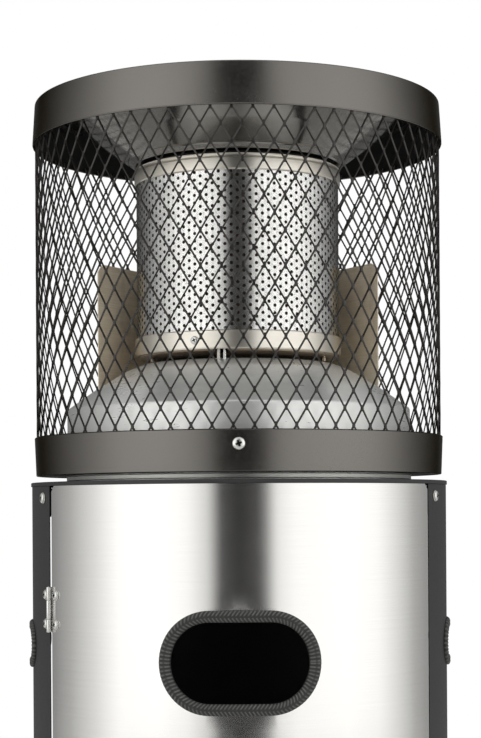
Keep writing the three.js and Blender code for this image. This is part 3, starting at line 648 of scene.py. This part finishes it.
def make_guard():
    """Expanded metal: rows of diamonds, with a bond where four strands meet."""
    around = 66
    half_row = 17.48
    first_azimuth = -1.35
    width, depth, tilt = 0.8, 0.6, 18 * DEG
    bond = [(-1.5, 0), (-0.5, -3.2), (0.5, -3.2), (1.5, 0), (0.5, 3.2), (-0.5, 3.2)]
    wall = high("guard_mesh").x - 1.0
    top = low("top_cap").z
    floor, ceiling = low("guard_mesh").z + 1.5, high("guard_mesh").z - 1.5
    shape = Shape()

    def node_at(column, level):
        azimuth = (first_azimuth + column * 180 / around) * DEG
        return Vector((wall * math.sin(azimuth), -wall * math.cos(azimuth), top - level * half_row))

    for level in range(-1, int((top - floor) / half_row) + 1):
        for column in range(level % 2, 2 * around, 2):
            upper = node_at(column, level)
            begin = max(0.0, (upper.z - ceiling) / half_row)
            end = min(1.0, (upper.z - floor) / half_row)
            for side in (-1, 1):
                if end - begin > 0.02:
                    lower = node_at(column + side, level + 1)
                    ends = upper.lerp(lower, begin), upper.lerp(lower, end)
                    shape.add(*strand(*ends, width, depth, side * tilt))
            if floor + 4 < upper.z < ceiling - 4:
                out = Vector((upper.x, upper.y, 0)).normalized()
                across = Vector((-out.y, out.x, 0))
                points = [upper + across * a + Vector((0, 0, b)) + out * c for c in (-0.8, 0.8)
                          for a, b in bond]
                shape.add(points, tube_faces(2, 6))
    piece("guard_mesh", shape, GUARD_COAT)

    bottom, top = heights("guard_lower_band")
    rim = high("guard_lower_band").x
    line = [(rim - 5.5, bottom + 0.1), (rim - 1.6, bottom), (rim, top - 1), (rim - 1.6, top)]
    profile = sheet(rounded(line, [0, 1.0, 0.8, 0]), 1.0)
    piece("guard_lower_band", Shape().turn(profile, ROUND), GUNMETAL)

    bottom, top = heights("guard_floor_ring")
    neck = high("neck_ring").x
    section = oblong(neck - 3, bottom, high("guard_floor_ring").x, top)
    piece("guard_floor_ring", Shape().turn(rounded(section, 0.4, 2, closed=True), 160), GUNMETAL)
    base, head = heights("neck_ring")
    section = [(neck - 3, base), (neck, base), (neck, base + 1), (neck - 0.7, base + 1.8),
               (neck - 0.7, head - 1.6), (neck, head - 0.8), (neck, head), (neck - 3, head)]
    piece("neck_ring", Shape().turn(rounded(section, 0.4, 3, closed=True), ROUND), NECK_COAT)


# ---- Emitter and burner ----
def make_screen():
    """The perforated drum: staggered columns of round holes, each in its own tile."""
    columns = 106
    pitch = 8.0
    hole = 1.85
    bottom, top = heights("emitter_screen")
    rim = high("emitter_screen").x
    radii = (rim - 0.1, rim - 0.9)
    rows = int((top - bottom - pitch) / pitch)
    first = bottom + (top - bottom - rows * pitch) / 2 - 1.2
    step = TURN / (2 * columns)
    half = pitch / 2
    points, faces, numbers = [], [], {}

    def spot(layer, angle, z):
        points.append((radii[layer] * math.sin(angle), -radii[layer] * math.cos(angle), z))
        return len(points) - 1

    def at(layer, column, z):
        """A point shared by all the tiles that meet at it."""
        key = (layer, column % (2 * columns), round(z, 3))
        if key not in numbers:
            numbers[key] = spot(layer, column * step, z)
        return numbers[key]

    def plain(column, *stops):
        """A closed strip of the drum one column wide, with a point at each stop on both edges."""
        for layer in (0, 1):
            left = [at(layer, column - 1, z) for z in stops]
            right = [at(layer, column + 1, z) for z in stops]
            middle = [at(layer, column, z) for z in (stops[0], stops[-1])]
            face = [left[0], middle[0], *right, middle[1], *left[:0:-1]]
            faces.append(face if layer == 0 else face[::-1])

    for column in range(0, 2 * columns, 2):
        odd = column // 2 % 2
        start = first + half * odd
        end = start + (rows - odd) * pitch
        for row in range(rows - odd):
            z = start + (row + 0.5) * pitch
            rings = []
            for layer in (0, 1):
                edge = [at(layer, column + c, z + v * half) for c, v in
                        ((1, 0), (1, 1), (0, 1), (-1, 1), (-1, 0), (-1, -1), (0, -1), (1, -1))]
                rim_points = []
                for turn in range(0, 360, 45):
                    angle = column * step + hole * math.cos(turn * DEG) / radii[0]
                    rim_points.append(spot(layer, angle, z + hole * math.sin(turn * DEG)))
                rings.append(rim_points)
                for k in range(8):
                    face = (edge[k], edge[(k + 1) % 8], rim_points[(k + 1) % 8], rim_points[k])
                    faces.append(face if layer == 0 else face[::-1])
            for k in range(8):
                faces.append((rings[0][k], rings[0][(k + 1) % 8], rings[1][(k + 1) % 8], rings[1][k]))
        plain(column, bottom, *[first] * odd, start)
        plain(column, end, *[end + half] * odd, top)
    for column in range(0, 2 * columns, 2):
        for z in (bottom, top):
            for a, b in ((column - 1, column), (column, column + 1)):
                faces.append((at(0, a, z), at(0, b, z), at(1, b, z), at(1, a, z)))
    gauze = radii[1] - 3
    shape = Shape().add(points, faces)
    shape.turn(sheet([(gauze, bottom + 1), (gauze, top - 1)], 0.6), 96, kind=1)
    piece("emitter_screen", shape, [EMITTER_STEEL, GAUZE])


def make_drum():
    make_screen()
    ring = high("emitter_top_ring").x
    bottom, top = heights("emitter_top_ring")
    line = [(ring - 1.2, bottom + 0.2), (ring, bottom + 1.2), (ring, top - 4.6), (ring - 1.1, top - 3.4),
            (ring - 1.1, top - 1), (ring - 0.1, top), (ring - 1.4, top)]
    profile = sheet(rounded(line, [0, 1, 0.8, 0.8, 0.6, 0.6, 0]), 0.9)
    piece("emitter_top_ring", Shape().turn(profile, 160), WARM_STEEL)
    bottom, top = heights("emitter_bottom_ring")
    line = [(ring - 2, bottom + 1.6), (ring - 1.4, bottom), (ring, bottom + 1.6), (ring, top - 1),
            (ring - 1.2, top)]
    profile = sheet(rounded(line, [0, 1.0, 1.2, 0.8, 0]), 0.8)
    piece("emitter_bottom_ring", Shape().turn(profile, 160), WARM_STEEL)

    cap, (bottom, top) = high("emitter_cap").x, heights("emitter_cap")
    line = rounded([(cap, bottom), (cap, top), (0, top)], [0, 3, 0])
    piece("emitter_cap", Shape().turn(sheet(line, 1.0), 128), SCORCH_AND_SHADE_BLACK)


def make_tray():
    bottom, top = high("dome_heat_shield").z + 4, high("burner_tray").z
    wall = high("burner_tray").x
    line = [(17.5, bottom), (100, bottom), (wall - 0.5, bottom + 3.5), (wall, top - 0.2)]
    tray = Shape().turn(sheet(rounded(line, [0, 5, 4, 0], 6), 1.0), 160)
    notch = Shape().block((-24, -wall - 6, bottom - 5), (-11, -98, top + 3), 0.3, 1)
    holes = Shape()
    for step in range(28):
        holes.turn(oblong(0, -8, 1.3, 4), 10, on_wall(wall + 3, step * 360 / 28 + 6, bottom + 5.6))
    shape = Shape().add(*subtracted(tray, [notch, holes]))
    stud = rounded([(0, -4), (2.6, -4), (2.6, -0.6), (2.0, 0), (2.0, 3), (0, 3)], 0.3, 2)
    for azimuth in (-117, -63, 63, 117):
        shape.turn(stud, 20, azimuth_turn(azimuth) @ Matrix.Translation((0, -103.5, bottom + 0.2)))
    piece("burner_tray", shape, TINTED_STEEL)


def bezier(a, b, c, d, steps):
    a, b, c, d = Vector(a), Vector(b), Vector(c), Vector(d)
    result = []
    for step in range(1, steps + 1):
        t = step / steps
        s = 1 - t
        result.append(a * s**3 + b * 3 * s * s * t + c * 3 * s * t * t + d * t**3)
    return result


def make_leads():
    """The electrode in its ceramic and the thermocouple, with their leads down to the control unit."""
    y = -105.5
    igniter = low("igniter_body").x + 13, high("igniter_body").y + 0.3, 702
    valve = -14, high("gas_valve").y + 0.3, 707
    for node, finish, end in (("ignition_electrode", CERAMIC, igniter), ("thermocouple", ZINC, valve)):
        tip = high(node).z
        x = high(node).x - 1.75
        path = [(x, y, tip - 12), (x, y, high("dome_heat_shield").z + 2), (x, y, 730)]
        path += bezier((x, y, 730), (x, y, 704), (end[0], end[1] + 26, end[2]), end, 22)
        shape = Shape().add(*swept(circle(1.6, 16), path))
        sleeve = [(0, tip - 13), (1.75, tip - 13), (1.75, tip - 3), (1.2, tip - 2.4), (1.1, tip - 0.4), (0, tip)]
        shape.turn(rounded(sleeve, 0.3, 2), 20, Matrix.Translation((x, y, 0)))
        piece(node, shape, finish)


def dome_height(r, line):
    """Height of the dome's upper face at a radius."""
    for (outer, low_z), (inner, high_z) in zip(line, line[1:]):
        if inner <= r <= outer and outer > inner:
            return low_z + (high_z - low_z) * (outer - r) / (outer - inner)
    return line[-1][1] if r < line[-1][0] else line[0][1]


def make_dome():
    bottom, top = heights("dome_heat_shield")
    skirt = high("dome_heat_shield").x
    corners = [(skirt, bottom), (skirt, top - 50), (159, top - 29), (126, top - 8.8), (105, top), (17, top)]
    line = rounded(corners, [0, 4, 50, 60, 30, 0], 8)
    dome = Shape().turn(sheet(line, 1.0), ROUND)
    slot = Shape().block((-24.5, -109.5, top - 6), (-10.5, -101.5, top + 4), 0.4, 1)
    piece("dome_heat_shield", Shape().add(*subtracted(dome, [slot])), DOME_STEEL)

    # Three flat panels behind the emitter, bent from one sheet and cut to the dome underneath.
    vertex = high("wind_shield").x
    head = high("wind_shield").z
    cut = 9
    rows = 8
    bends = [(vertex * math.cos(turn * DEG), vertex * math.sin(turn * DEG)) for turn in (0, 60, 120, 180)]
    path = [Vector(p) for p in rounded(bends, [0, 7, 7, 0], 6)]
    fine = [path[0]]
    for a, b in zip(path, path[1:]):
        parts = max(1, int((b - a).length / 6))
        fine += [a.lerp(b, k / parts) for k in range(1, parts + 1)]
    distance = [0.0]
    for a, b in zip(fine, fine[1:]):
        distance.append(distance[-1] + (b - a).length)
    from_end = [min(along, distance[-1] - along) for along in distance]
    profile = sheet(fine, 1.2)
    total = len(fine)
    outer, inner = profile[:total], profile[total:][::-1]
    points = []
    for side in (outer, inner):
        for (x, y), edge in zip(side, from_end):
            under = dome_height(math.hypot(x, y), line) + 0.9
            over = head - max(0.0, cut - edge)
            points += [(x, y, under + (over - under) * k / rows) for k in range(rows + 1)]
    count = total * (rows + 1)
    shape = Shape().add(points, thickened(grid_faces(total, rows + 1), count))
    hem = [(*(Vector(a) + Vector(b)) / 2, head - 2.2)
           for a, b, edge in zip(inner, outer, from_end) if edge > cut]
    section = rounded(oblong(-2.2, -1.2, 2.2, 1.2), 1.0, 3, closed=True)
    shape.add(*swept(section, hem, up=(0, 0, 1)))
    piece("wind_shield", shape, SHIELD_STEEL)


# ---- Cabinet ----
BODY_R = high("body_shell").x
DOOR_GRIP = (140, 80)  # width and height of the hand holes inside their trims
SIDE_GRIP = (108, 30)
BRACKET_AZ = 65
CATCH_AZ = 60
HINGE_AZ = -60


def wall_point(radius):
    """Places an unrolled point, in millimetres round the skin and in height, at a radius."""
    return lambda u, v: (radius * math.sin(u / BODY_R), -radius * math.cos(u / BODY_R), v)


def shifted(loop, azimuth):
    return [(u + BODY_R * DEG * azimuth, v) for u, v in loop]


def hand_hole(size, grown, trim):
    return oval(size[0] + grown, size[1] + grown, middle_z(trim))


def wall_skin(start, end, node, holes, notch=0.0):
    """A curved sheet between two azimuths, as high as a node, with its top corners cut where asked."""
    bottom, top = heights(node)
    columns = int((end - start) / 2)
    rows = max(2, int((top - bottom) / 24))
    across = [BODY_R * DEG * (start + (end - start) * i / columns) for i in range(columns + 1)]
    levels = [bottom + (top - bottom) * k / rows for k in range(rows + 1)]
    first, last = across[0], across[-1]
    line = [(u, bottom) for u in across] + [(last, v) for v in levels[1:-1]]
    line += [(last, top - notch), (last - notch, top)] if notch else [(last, top)]
    line += [(u, top) for u in across[-2:0:-1]]
    line += [(first + notch, top), (first, top - notch)] if notch else [(first, top)]
    line += [(first, v) for v in levels[-2:0:-1]]
    grid = [(u, v) for u in across for v in levels]
    return Shape().add(*cut_sheet(line, holes, grid, wall_point(BODY_R), wall_point(BODY_R - 1)))


def make_skins():
    grown = 5.7  # the trims cover the edges of the holes by half of this
    slot = hand_hole(SIDE_GRIP, grown, "left_grip_trim")
    vent = oval(24, 8, 124, 8)
    air_slot = oblong(-4.5, 95, 4.5, 702)
    holes = [shifted(slot, 90), shifted(slot, 270)]
    holes += [shifted(vent, azimuth) for azimuth in range(155, 206, 10)]
    holes += [shifted(air_slot, 107.8), shifted(air_slot, 252.2)]
    piece("body_shell", wall_skin(60.3, 299.35, "body_shell", holes), BLACK_COAT)
    hole = hand_hole(DOOR_GRIP, grown, "door_grip_trim")
    piece("door", wall_skin(-59.35, 59.7, "door", [hole], notch=6), DOOR_STEEL, "door")

    deck = high("deck")
    profile = sheet(rounded([(deck.x, low("deck").z), (deck.x, deck.z), (10, deck.z)], [0, 1.0, 0]), 1.2)
    piece("deck", Shape().turn(profile, ROUND), BLACK_COAT)
    for node, azimuth in (("left_corner_bracket", -BRACKET_AZ), ("right_corner_bracket", BRACKET_AZ)):
        bottom, top = heights(node)
        # The brackets take the near-black finish: a dark bracket with painted shade of the slit it is seen
        # through.
        plate = Shape().block((-13, -224.6, bottom), (13, -223.2, top), 0.3, place=azimuth_turn(azimuth))
        piece(node, plate, SCORCH_AND_SHADE_BLACK)


def make_trim(node, size, azimuth, body="root"):
    """A U-shaped rubber edge round a hand hole, with herringbone ribs over its outer bead."""
    width, height = size
    rim = (high(node).z - low(node).z - height) / 2
    z = middle_z(node)
    proud = 4.0
    rib_pitch = 3.9
    section = []  # distance out from the hole, height off the skin, and whether it's ribbed
    for step in range(15):
        turn = math.pi * step / 14
        out = rim / 2 - rim / 2 * math.copysign(abs(math.cos(turn)) ** 0.75, math.cos(turn))
        section.append((out, 0.4 + (proud - 0.4) * math.sin(turn) ** 0.62, 1.0))
    section += [(a, b, 0.0) for a, b in [
        (rim, 0.3), (2.5, 0.3), (2.5, -1.3), (rim, -1.3), (rim, -1.3 - proud * 0.5), (rim * 0.7, -1.0 - proud),
        (rim * 0.25, -1.0 - proud), (0.2, -2.4), (0.0, -0.6),
    ]]
    r = height / 2
    straight = width / 2 - r
    middle = rim / 2
    arc = math.pi / 2 * (r + middle)
    half = 2 * arc + 2 * straight
    per_side = int(half / rib_pitch * 6)
    points, tones = [], []
    for branch in (1, -1):
        for step in range(per_side):
            s = half * step / per_side
            s = s if branch == 1 else half - s
            centre = min(max(s - arc, 0.0), 2 * straight) - straight
            turn = math.pi / 2
            if s < arc:
                turn = math.pi - s / (r + middle)
            elif s >= arc + 2 * straight:
                turn -= (s - arc - 2 * straight) / (r + middle)
            for a, b, ribbed in section:
                phase = (s - 0.75 * abs(math.sin(turn)) ** 2 * abs(a - middle)) / rib_pitch
                # The crest also paints the trim through its tone: light on the crests as a painted highlight,
                # dark in the grooves as painted shade.
                crest = (0.5 + 0.5 * math.cos(TURN * phase)) ** 0.8 * ribbed
                tone = crest * (0.55 + 0.45 * min(1.0, abs(a - middle) / 1.2))
                radius = BODY_R + b - (1 - tone) * 0.55 * ribbed * (b > 1.0)
                u = centre + math.cos(turn) * (r + a)
                points.append(wall_point(radius)(u, branch * math.sin(turn) * (r + a) + z))
                tones.append(tone)
    faces = grid_faces(2 * per_side, len(section), wrap_rows=True, wrap_columns=True)
    piece(node, Shape().add(points, faces, azimuth_turn(azimuth), tones=tones), TRIM_RUBBER, body, sharp=60)


# ---- Hinges and catch ----
def make_hinge(name, head):
    """Two leaves on a pin: knuckles in the slit beside the door and screws on both sides of it."""
    pin_r = 230.2
    knuckle = 13.4
    gap = 0.35
    low_end, high_end = heights(name + "_hinge_pin")
    bottom, top = low_end + 0.5, high_end - 0.5
    z = (bottom + top) / 2
    outer = [(bottom, bottom + knuckle), (top - knuckle, top)]
    inner = [(bottom + knuckle + gap, top - knuckle - gap)]
    turn = azimuth_turn(HINGE_AZ)
    on_pin = turn @ Matrix.Translation((0, -pin_r, 0))
    for kind, side, body, levels in (("fixed", -1, "root", outer), ("door", 1, "door", inner)):
        shape = Shape()
        for start, end in levels:
            shape.turn(rounded(oblong(1.35, start, 2.4, end), 0.35, 2, closed=True), 24, on_pin)
            near, far = (side * 0.15, -pin_r + 1.7, start + 0.1), (side * 0.95, -225.4, end - 0.1)
            shape.block(near, far, 0.1, 1, turn)
        near, far = (side * -19.4, -225.4, z - 23.4), (side * -1.8, -224.3, z + 23.4)
        shape.block(near, far, 0.35, place=azimuth_turn(HINGE_AZ + side * 5))
        for lift in (-15.2, 15.2):
            azimuth = HINGE_AZ + side * 12.5 / BODY_R / DEG
            add_screw(shape, head, BODY_R, azimuth, z + lift, (6, 1.8, 1.8), 0.15, 16)
        piece(f"{name}_hinge_{kind}_leaf", shape, [ZINC, SCORCH_AND_SHADE_BLACK], body)
    pin = rounded(oblong(0, bottom - 0.5, 1.1, top + 0.5), [0, 0.4, 0.4, 0], 3)
    piece(name + "_hinge_pin", Shape().turn(pin, 20, on_pin), ZINC)


def make_fittings():
    head = cross_head(4.6, 2.3, washer=5.6)
    make_hinge("upper", head)
    make_hinge("lower", head)
    middle = middle_z("strike_plate")
    plate = Shape().block((-10, -225.2, middle - 20), (16, -224.3, middle + 20), 0.35, place=azimuth_turn(55))
    piece("strike_plate", plate, ZINC, "door")
    turn = azimuth_turn(CATCH_AZ)
    shape = Shape().block((-24, -222.7, middle - 14), (16, -209.3, middle + 14), 1.4, 3, turn)
    shape.block((4.2, -224.5, middle - 13), (15, -222.3, middle + 13), 0.4, 2, turn, 1)
    piece("magnet_catch", shape, [PLASTIC, BURNER_STEEL])


# ---- Gas control ----
def along_y(x, y, z):
    """Places a shape made round +Z so that its axis points along +Y."""
    return Matrix.Translation((x, y, z)) @ Matrix.Rotation(-90 * DEG, 4, "X")


VALVE_Z = middle_z("gas_valve")
IGNITER_X = low("igniter_body").x + 13
PIPE_Z = VALVE_Z + 5


def make_panel():
    low_p, high_p = low("control_panel"), high("control_panel")
    outline = rounded(oblong(low_p.x, low_p.z, high_p.x, high_p.z), [6, 6, 0.5, 0.5], 5, closed=True)
    holes = [circle(7, 32, (0, VALVE_Z)), circle(9.7, 32, (IGNITER_X, VALVE_Z))]
    holes += [circle(2.2, 16, (x, low_p.z + 9)) for x in (-98, 98)]
    plate = cut_sheet(outline, holes, [], lambda u, v: (u, low_p.y, v), lambda u, v: (u, low_p.y + 1.5, v))
    shape = Shape().add(*plate)
    shape.block((low_p.x, low_p.y + 0.3, high_p.z - 1.5), high_p, 0.4)
    piece("control_panel", shape, GALVANISED)


def make_valve():
    low_v, high_v = low("gas_valve"), high("gas_valve")
    inset = Vector((0, 2, 0))
    place = along_y(0, low_v.y, VALVE_Z)
    bore = Shape().turn(oblong(0, -5, 9.5, 26), 32, place)
    shape = Shape().add(*subtracted(Shape().block(low_v + inset, high_v - inset, 2.2, 3), [bore]))
    shape.turn(rounded(oblong(9.6, 0, 16, 4), 0.8, 3, closed=True), 40, place)
    head = cross_head(2.6, 1.4)
    for x in (-15, 15):
        for lift in (-14, 14):
            place = Matrix.Translation((x, low_v.y + 2, VALVE_Z + lift)) @ Matrix.Rotation(90 * DEG, 4, "X")
            shape.add(head.points, head.faces, place, head.kinds)
    nut = rounded([(4.2, 0), (8, 0), (8, 3.4), (6.6, 6), (4.2, 6)], 0.4, 2, closed=True)
    shape.turn(nut, 6, along_y(0, high_v.y - 6.2, PIPE_Z))
    piece("gas_valve", shape, [BRASS, SCORCH_AND_SHADE_BLACK])


def make_pipe():
    start = high("gas_valve").y + 0.3
    path = [(0, start, PIPE_Z), (0, (start - 26) / 2, PIPE_Z), (0, -26, PIPE_Z)]
    path += bezier((0, -26, PIPE_Z), (0, -8, PIPE_Z), (0, 0, PIPE_Z + 8), (0, 0, PIPE_Z + 26), 12)
    shape = Shape().add(*swept(circle(4, 24), path + [(0, 0, high("gas_pipe").z)]))
    sleeve = rounded(oblong(3.9, 0, 5.4, 9), 0.5, 2, closed=True)
    shape.turn(sleeve, 32, along_y(0, start + 0.2, PIPE_Z))
    piece("gas_pipe", shape, BRASS)


def make_knob():
    back, front = high("control_knob").y, low("control_knob").y
    profile = [(4.5, 0), (23, 0), (23, -5), (21.5, -6.8), (16.4, -8.2), (15.2, -21), (13.6, -22.4), (0, -22.6),
               (0, -8), (4.5, -8)]
    points, faces = turned(rounded(profile, [0, 0.8, 1, 1, 1.5, 1.5, 1.5, 0, 0, 0], 4), 120)
    fluted = []
    for x, y, z in points:
        radius = math.hypot(x, y)
        wave = 0.35 * math.cos(30 * math.atan2(y, x)) if radius < 24 else 0
        scale = (radius + wave - 0.35) / radius if radius > 18 else 1
        fluted.append((x * scale, y * scale, z))
    shape = Shape().add(fluted, faces, along_y(0, back, VALVE_Z))
    shape.block((-5, front, VALVE_Z - 20.5), (5, back - 4, VALVE_Z + 20.5), 2.2, 4)
    shape.block((-0.8, front - 0.15, VALVE_Z + 6), (0.8, front + 1, VALVE_Z + 18.5), 0.12, 1, kind=1)
    piece("control_knob", shape, [PLASTIC, WHITE_PAINT], "control_knob")


def make_controls():
    make_panel()
    make_valve()
    make_knob()
    place = along_y(IGNITER_X, high("control_panel").y - 30, VALVE_Z)
    bezel = [(9.2, -0.4), (13, -0.4), (13, -2.6), (11.8, -4), (8.4, -4), (8.4, 16), (0, 16), (0, 38), (11.5, 38),
             (11.5, 1.9), (9.2, 1.9)]
    bezel = rounded(bezel, [0, 0.2, 1, 0.8, 0.3, 0, 0, 0, 1.5, 0.3, 0], 3)
    piece("igniter_body", Shape().turn(bezel, 48, place), PLASTIC)
    button = [(0, -10.4), (5.5, -10.8), (7.6, -10), (8, -8.4), (8, 8), (0, 8)]
    button = rounded(button, [0, 3, 1, 1, 0.4, 0], 4)
    piece("igniter_button", Shape().turn(button, 48, place), FOOT_RUBBER, "igniter_button")

    barbs = [(0, 0), (3.2, 0), (4, 1)]
    for z in (4.4, 8.4, 12.4):
        barbs += [(5.2, z), (4.1, z + 0.4)]
    barbs += [(4.1, 15.6), (0, 15.6)]
    middle = (low("hose_inlet_nipple") + high("hose_inlet_nipple")) / 2
    place = Matrix.Translation((middle.x, middle.y, low("hose_inlet_nipple").z))
    shape = Shape().turn(rounded(barbs, 0.25, 2), 32, place)
    shape.turn(rounded(oblong(0, 15.4, 7.9, 21.6), [0, 0.6, 0.6, 0], 2), 6, place)
    piece("hose_inlet_nipple", shape, BRASS)

    low_t, high_t = low("tilt_switch"), high("tilt_switch")
    corner = Vector((low_t.x, low_t.y, high_t.z - 32))
    dome = rounded(oblong(0, low_t.z, 9, corner.z + 4), [0, 4, 0, 0], 6)
    shape = Shape().block(corner, high_t, 2, 3)
    shape.turn(dome, 36, Matrix.Translation(((low_t.x + high_t.x) / 2, (low_t.y + high_t.y) / 2, 0)))
    piece("tilt_switch", shape, PLASTIC)
    make_pipe()


# ---- Base, feet and wheels ----
def make_base():
    under, over = heights("base_plate")
    rim = circle(high("base_plate").x, 160)
    drain_r = 185
    drains = [circle(12, 32, (drain_r * math.sin(turn * DEG), -drain_r * math.cos(turn * DEG)))
              for turn in range(30, 360, 60)]
    inner = [p for radius in (60, 120, 150) for p in circle(radius, 24)]
    plate = cut_sheet(rim, drains, inner, lambda u, v: (u, v, over), lambda u, v: (u, v, under))
    rib = rounded([(148, over - 1), (151, over + 0.9), (155, over + 0.9), (158, over - 1)], 1.2, 4)
    piece("base_plate", Shape().add(*plate).turn(rib, 128), GALVANISED)

    outer = high("base_ring").x
    bottom, top = heights("base_ring")
    shelf = under - 0.35
    lip = BODY_R + 0.6
    line = [(outer - 13, shelf - 2), (outer - 3, shelf - 2), (outer - 3, bottom + 0.2), (outer - 1.6, bottom),
            (outer, bottom + 2), (outer, top - 14), (outer - 0.9, top - 13), (outer - 0.9, top - 11.5),
            (outer, top - 10.5), (outer, top - 4), (outer - 2.4, top), (lip + 0.2, top), (lip, top - 3),
            (outer - 3, top - 3.4), (outer - 3, shelf), (outer - 13, shelf)]
    ring = Shape().turn(rounded(line, 0.9, 3, closed=True), ROUND)
    gaps = [Shape().block((x - 19, 170, -5), (x + 19, 262, shelf + 0.2), 3, 3) for x in (-95, 95)]
    piece("base_ring", Shape().add(*subtracted(ring, gaps)), PLASTIC)

    for node in ("front_left_foot", "front_right_foot", "rear_left_foot", "rear_right_foot"):
        middle = (low(node) + high(node)) / 2
        top = high(node).z
        line = [(0, 0), (17.6, 0), (19.6, 2.4), (19.6, 4.6), (18.7, 5.4), (19.6, 6.2), (19.8, 11.6),
                (14.2, 17.6), (14, top - 0.6), (13.4, top), (0, top)]
        line = rounded(line, [0, 1.6, 1.2, 0.4, 0.4, 0.4, 2, 2, 0.3, 0.3, 0], 4)
        piece(node, Shape().turn(line, 48, Matrix.Translation((middle.x, middle.y, 0))), FOOT_RUBBER)


def mirrored(line):
    """A line and its mirror image across z = 0, back to its start."""
    return line + [(r, -z) for r, z in line[::-1]]


def make_wheels():
    across = Matrix.Rotation(90 * DEG, 4, "Y")
    tyre = mirrored([(20, -9.6), (25, -9.9), (26.9, -8), (26.9, -5.6), (26.2, -5), (26.2, -3.8), (27, -3.2)])
    tyre = rounded(tyre, 0.5, 2, closed=True)
    hub = mirrored([(4.4, -9.8), (7.5, -9.8), (8.2, -7), (18.6, -6), (20.2, -9.2)])
    hub = rounded(hub, 0.6, 2, closed=True)
    for side in ("left", "right"):
        wheel, bracket = side + "_wheel", side + "_wheel_bracket"
        middle = (low(wheel) + high(wheel)) / 2
        place = Matrix.Translation(middle) @ across
        shape = Shape().turn(tyre, 72, place).turn(hub, 72, place, 1)
        for spoke in range(5):
            spin = place @ azimuth_turn(spoke * 72)
            shape.block((-1.3, 7.4, -8.6), (1.3, 19.6, 8.6), 0.5, place=spin, kind=1)
        piece(wheel, shape, [FOOT_RUBBER, PLASTIC], wheel)
        low_b, high_b = low(bracket), high(bracket)
        outline = rounded(oblong(low_b.y, low_b.z, high_b.y, high_b.z), [9, 9, 0.5, 0.5], 6, closed=True)
        hole = circle(4.3, 24, (middle.y, middle.z))
        shape = Shape()
        for x, back in ((low_b.x, low_b.x + 2), (high_b.x, high_b.x - 2)):
            shape.add(*cut_sheet(outline, [hole], [], lambda u, v: (x, u, v), lambda u, v: (back, u, v)))
        shape.block((low_b.x + 0.3, low_b.y, high_b.z - 1.6), (high_b.x - 0.3, high_b.y, high_b.z), 0.4)
        piece(bracket, shape, GALVANISED)
    low_a, high_a = low("wheel_axle"), high("wheel_axle")
    reach = (high_a.x - low_a.x) / 2
    line = [(0, -reach), (3.2, -reach), (4, -reach + 0.8), (4, reach - 0.8), (3.2, reach), (0, reach)]
    place = Matrix.Translation((low_a + high_a) / 2) @ across
    shape = Shape().turn(rounded(line, 0.2, 2), 32, place)
    for sign in (-1, 1):
        clip = [(4.0, reach - 2.2), (6.8, reach - 2.6), (6.8, reach - 1.9), (4.0, reach - 1.4)]
        shape.turn(rounded([(r, sign * z) for r, z in clip], 0.2, 2, closed=True), 32, place)
    piece("wheel_axle", shape, ZINC)


# ---- Light and floor ----
def make_studio():
    """White walls of light at both sides of a narrow dark gap in front, dimming round to the back."""
    world = bpy.data.worlds.new("studio")
    scene.world = world
    world.use_nodes = True
    world.node_tree.nodes.clear()
    g = Nodes(world.node_tree)
    place = g.node("ShaderNodeTexCoord").outputs["Generated"]
    x, y, z = g.node("ShaderNodeSeparateXYZ", {0: place}).outputs
    azimuth = g.math("ARCTAN2", x, g.math("MULTIPLY", y, -1.0))
    share = g.math("ADD", g.math("DIVIDE", azimuth, TURN), 0.5)
    brightest = 1.45
    levels = [(-180, 0.12), (-125, 0.26), (-105, 0.5), (-85, 0.9), (-68, 1.36), (-45, 1.45), (-28, 1.27),
              (-17, 0.85), (-10, 0.08), (0, 0.03), (10, 0.07), (14, 0.26), (20, 1.05), (30, 1.3), (60, 1.42),
              (80, 1.28), (95, 0.9), (110, 0.5), (130, 0.28), (180, 0.12)]
    stops = []
    for angle, level in levels:
        tone = level / brightest
        stops.append((angle / 360 + 0.5, (tone, tone, tone * 0.985)))
    overhead = g.node("ShaderNodeMapRange", {"Value": z, "From Min": 0.45, "From Max": 0.85}).outputs[0]
    blend = g.mix(overhead, g.ramp(share, *stops), (0.55, 0.55, 0.55))
    studio = g.node("ShaderNodeBackground", {0: blend, 1: brightest}).outputs[0]
    backdrop = g.node("ShaderNodeBackground", {0: (1, 1, 1, 1)}).outputs[0]
    seen = g.node("ShaderNodeLightPath").outputs["Is Camera Ray"]
    either = g.node("ShaderNodeMixShader", {0: seen, 1: studio, 2: backdrop}).outputs[0]
    g.node("ShaderNodeOutputWorld", {0: either})

    mesh = Shape().turn(oblong(0, -20, 2900, 0), 96).mesh("floor")
    mesh.materials.append(moulded("floor_paint", (0.82, 0.82, 0.81), 0.7, grain=90.0, depth=5e-5))
    ground = bpy.data.objects.new("floor", mesh)
    scene.collection.objects.link(ground)
    scene.view_settings.view_transform = "Standard"


CARRIED = {
    "burner_head": BURNER_STEEL,
    "mixing_tube": GALVANISED,
    "gas_jet": BRASS,
    "valve_plug": BRASS,
    "valve_spindle": ZINC,
}
for node, finish in CARRIED.items():
    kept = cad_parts[node]
    kept.data.materials.clear()
    kept.data.materials.append(finish)

make_cap()
make_guard()
make_drum()
make_tray()
make_leads()
make_dome()
make_skins()
make_trim("door_grip_trim", DOOR_GRIP, 0, "door")
make_trim("left_grip_trim", SIDE_GRIP, -90)
make_trim("right_grip_trim", SIDE_GRIP, 90)
make_screws()
make_fittings()
make_controls()
make_base()
make_wheels()
make_studio()
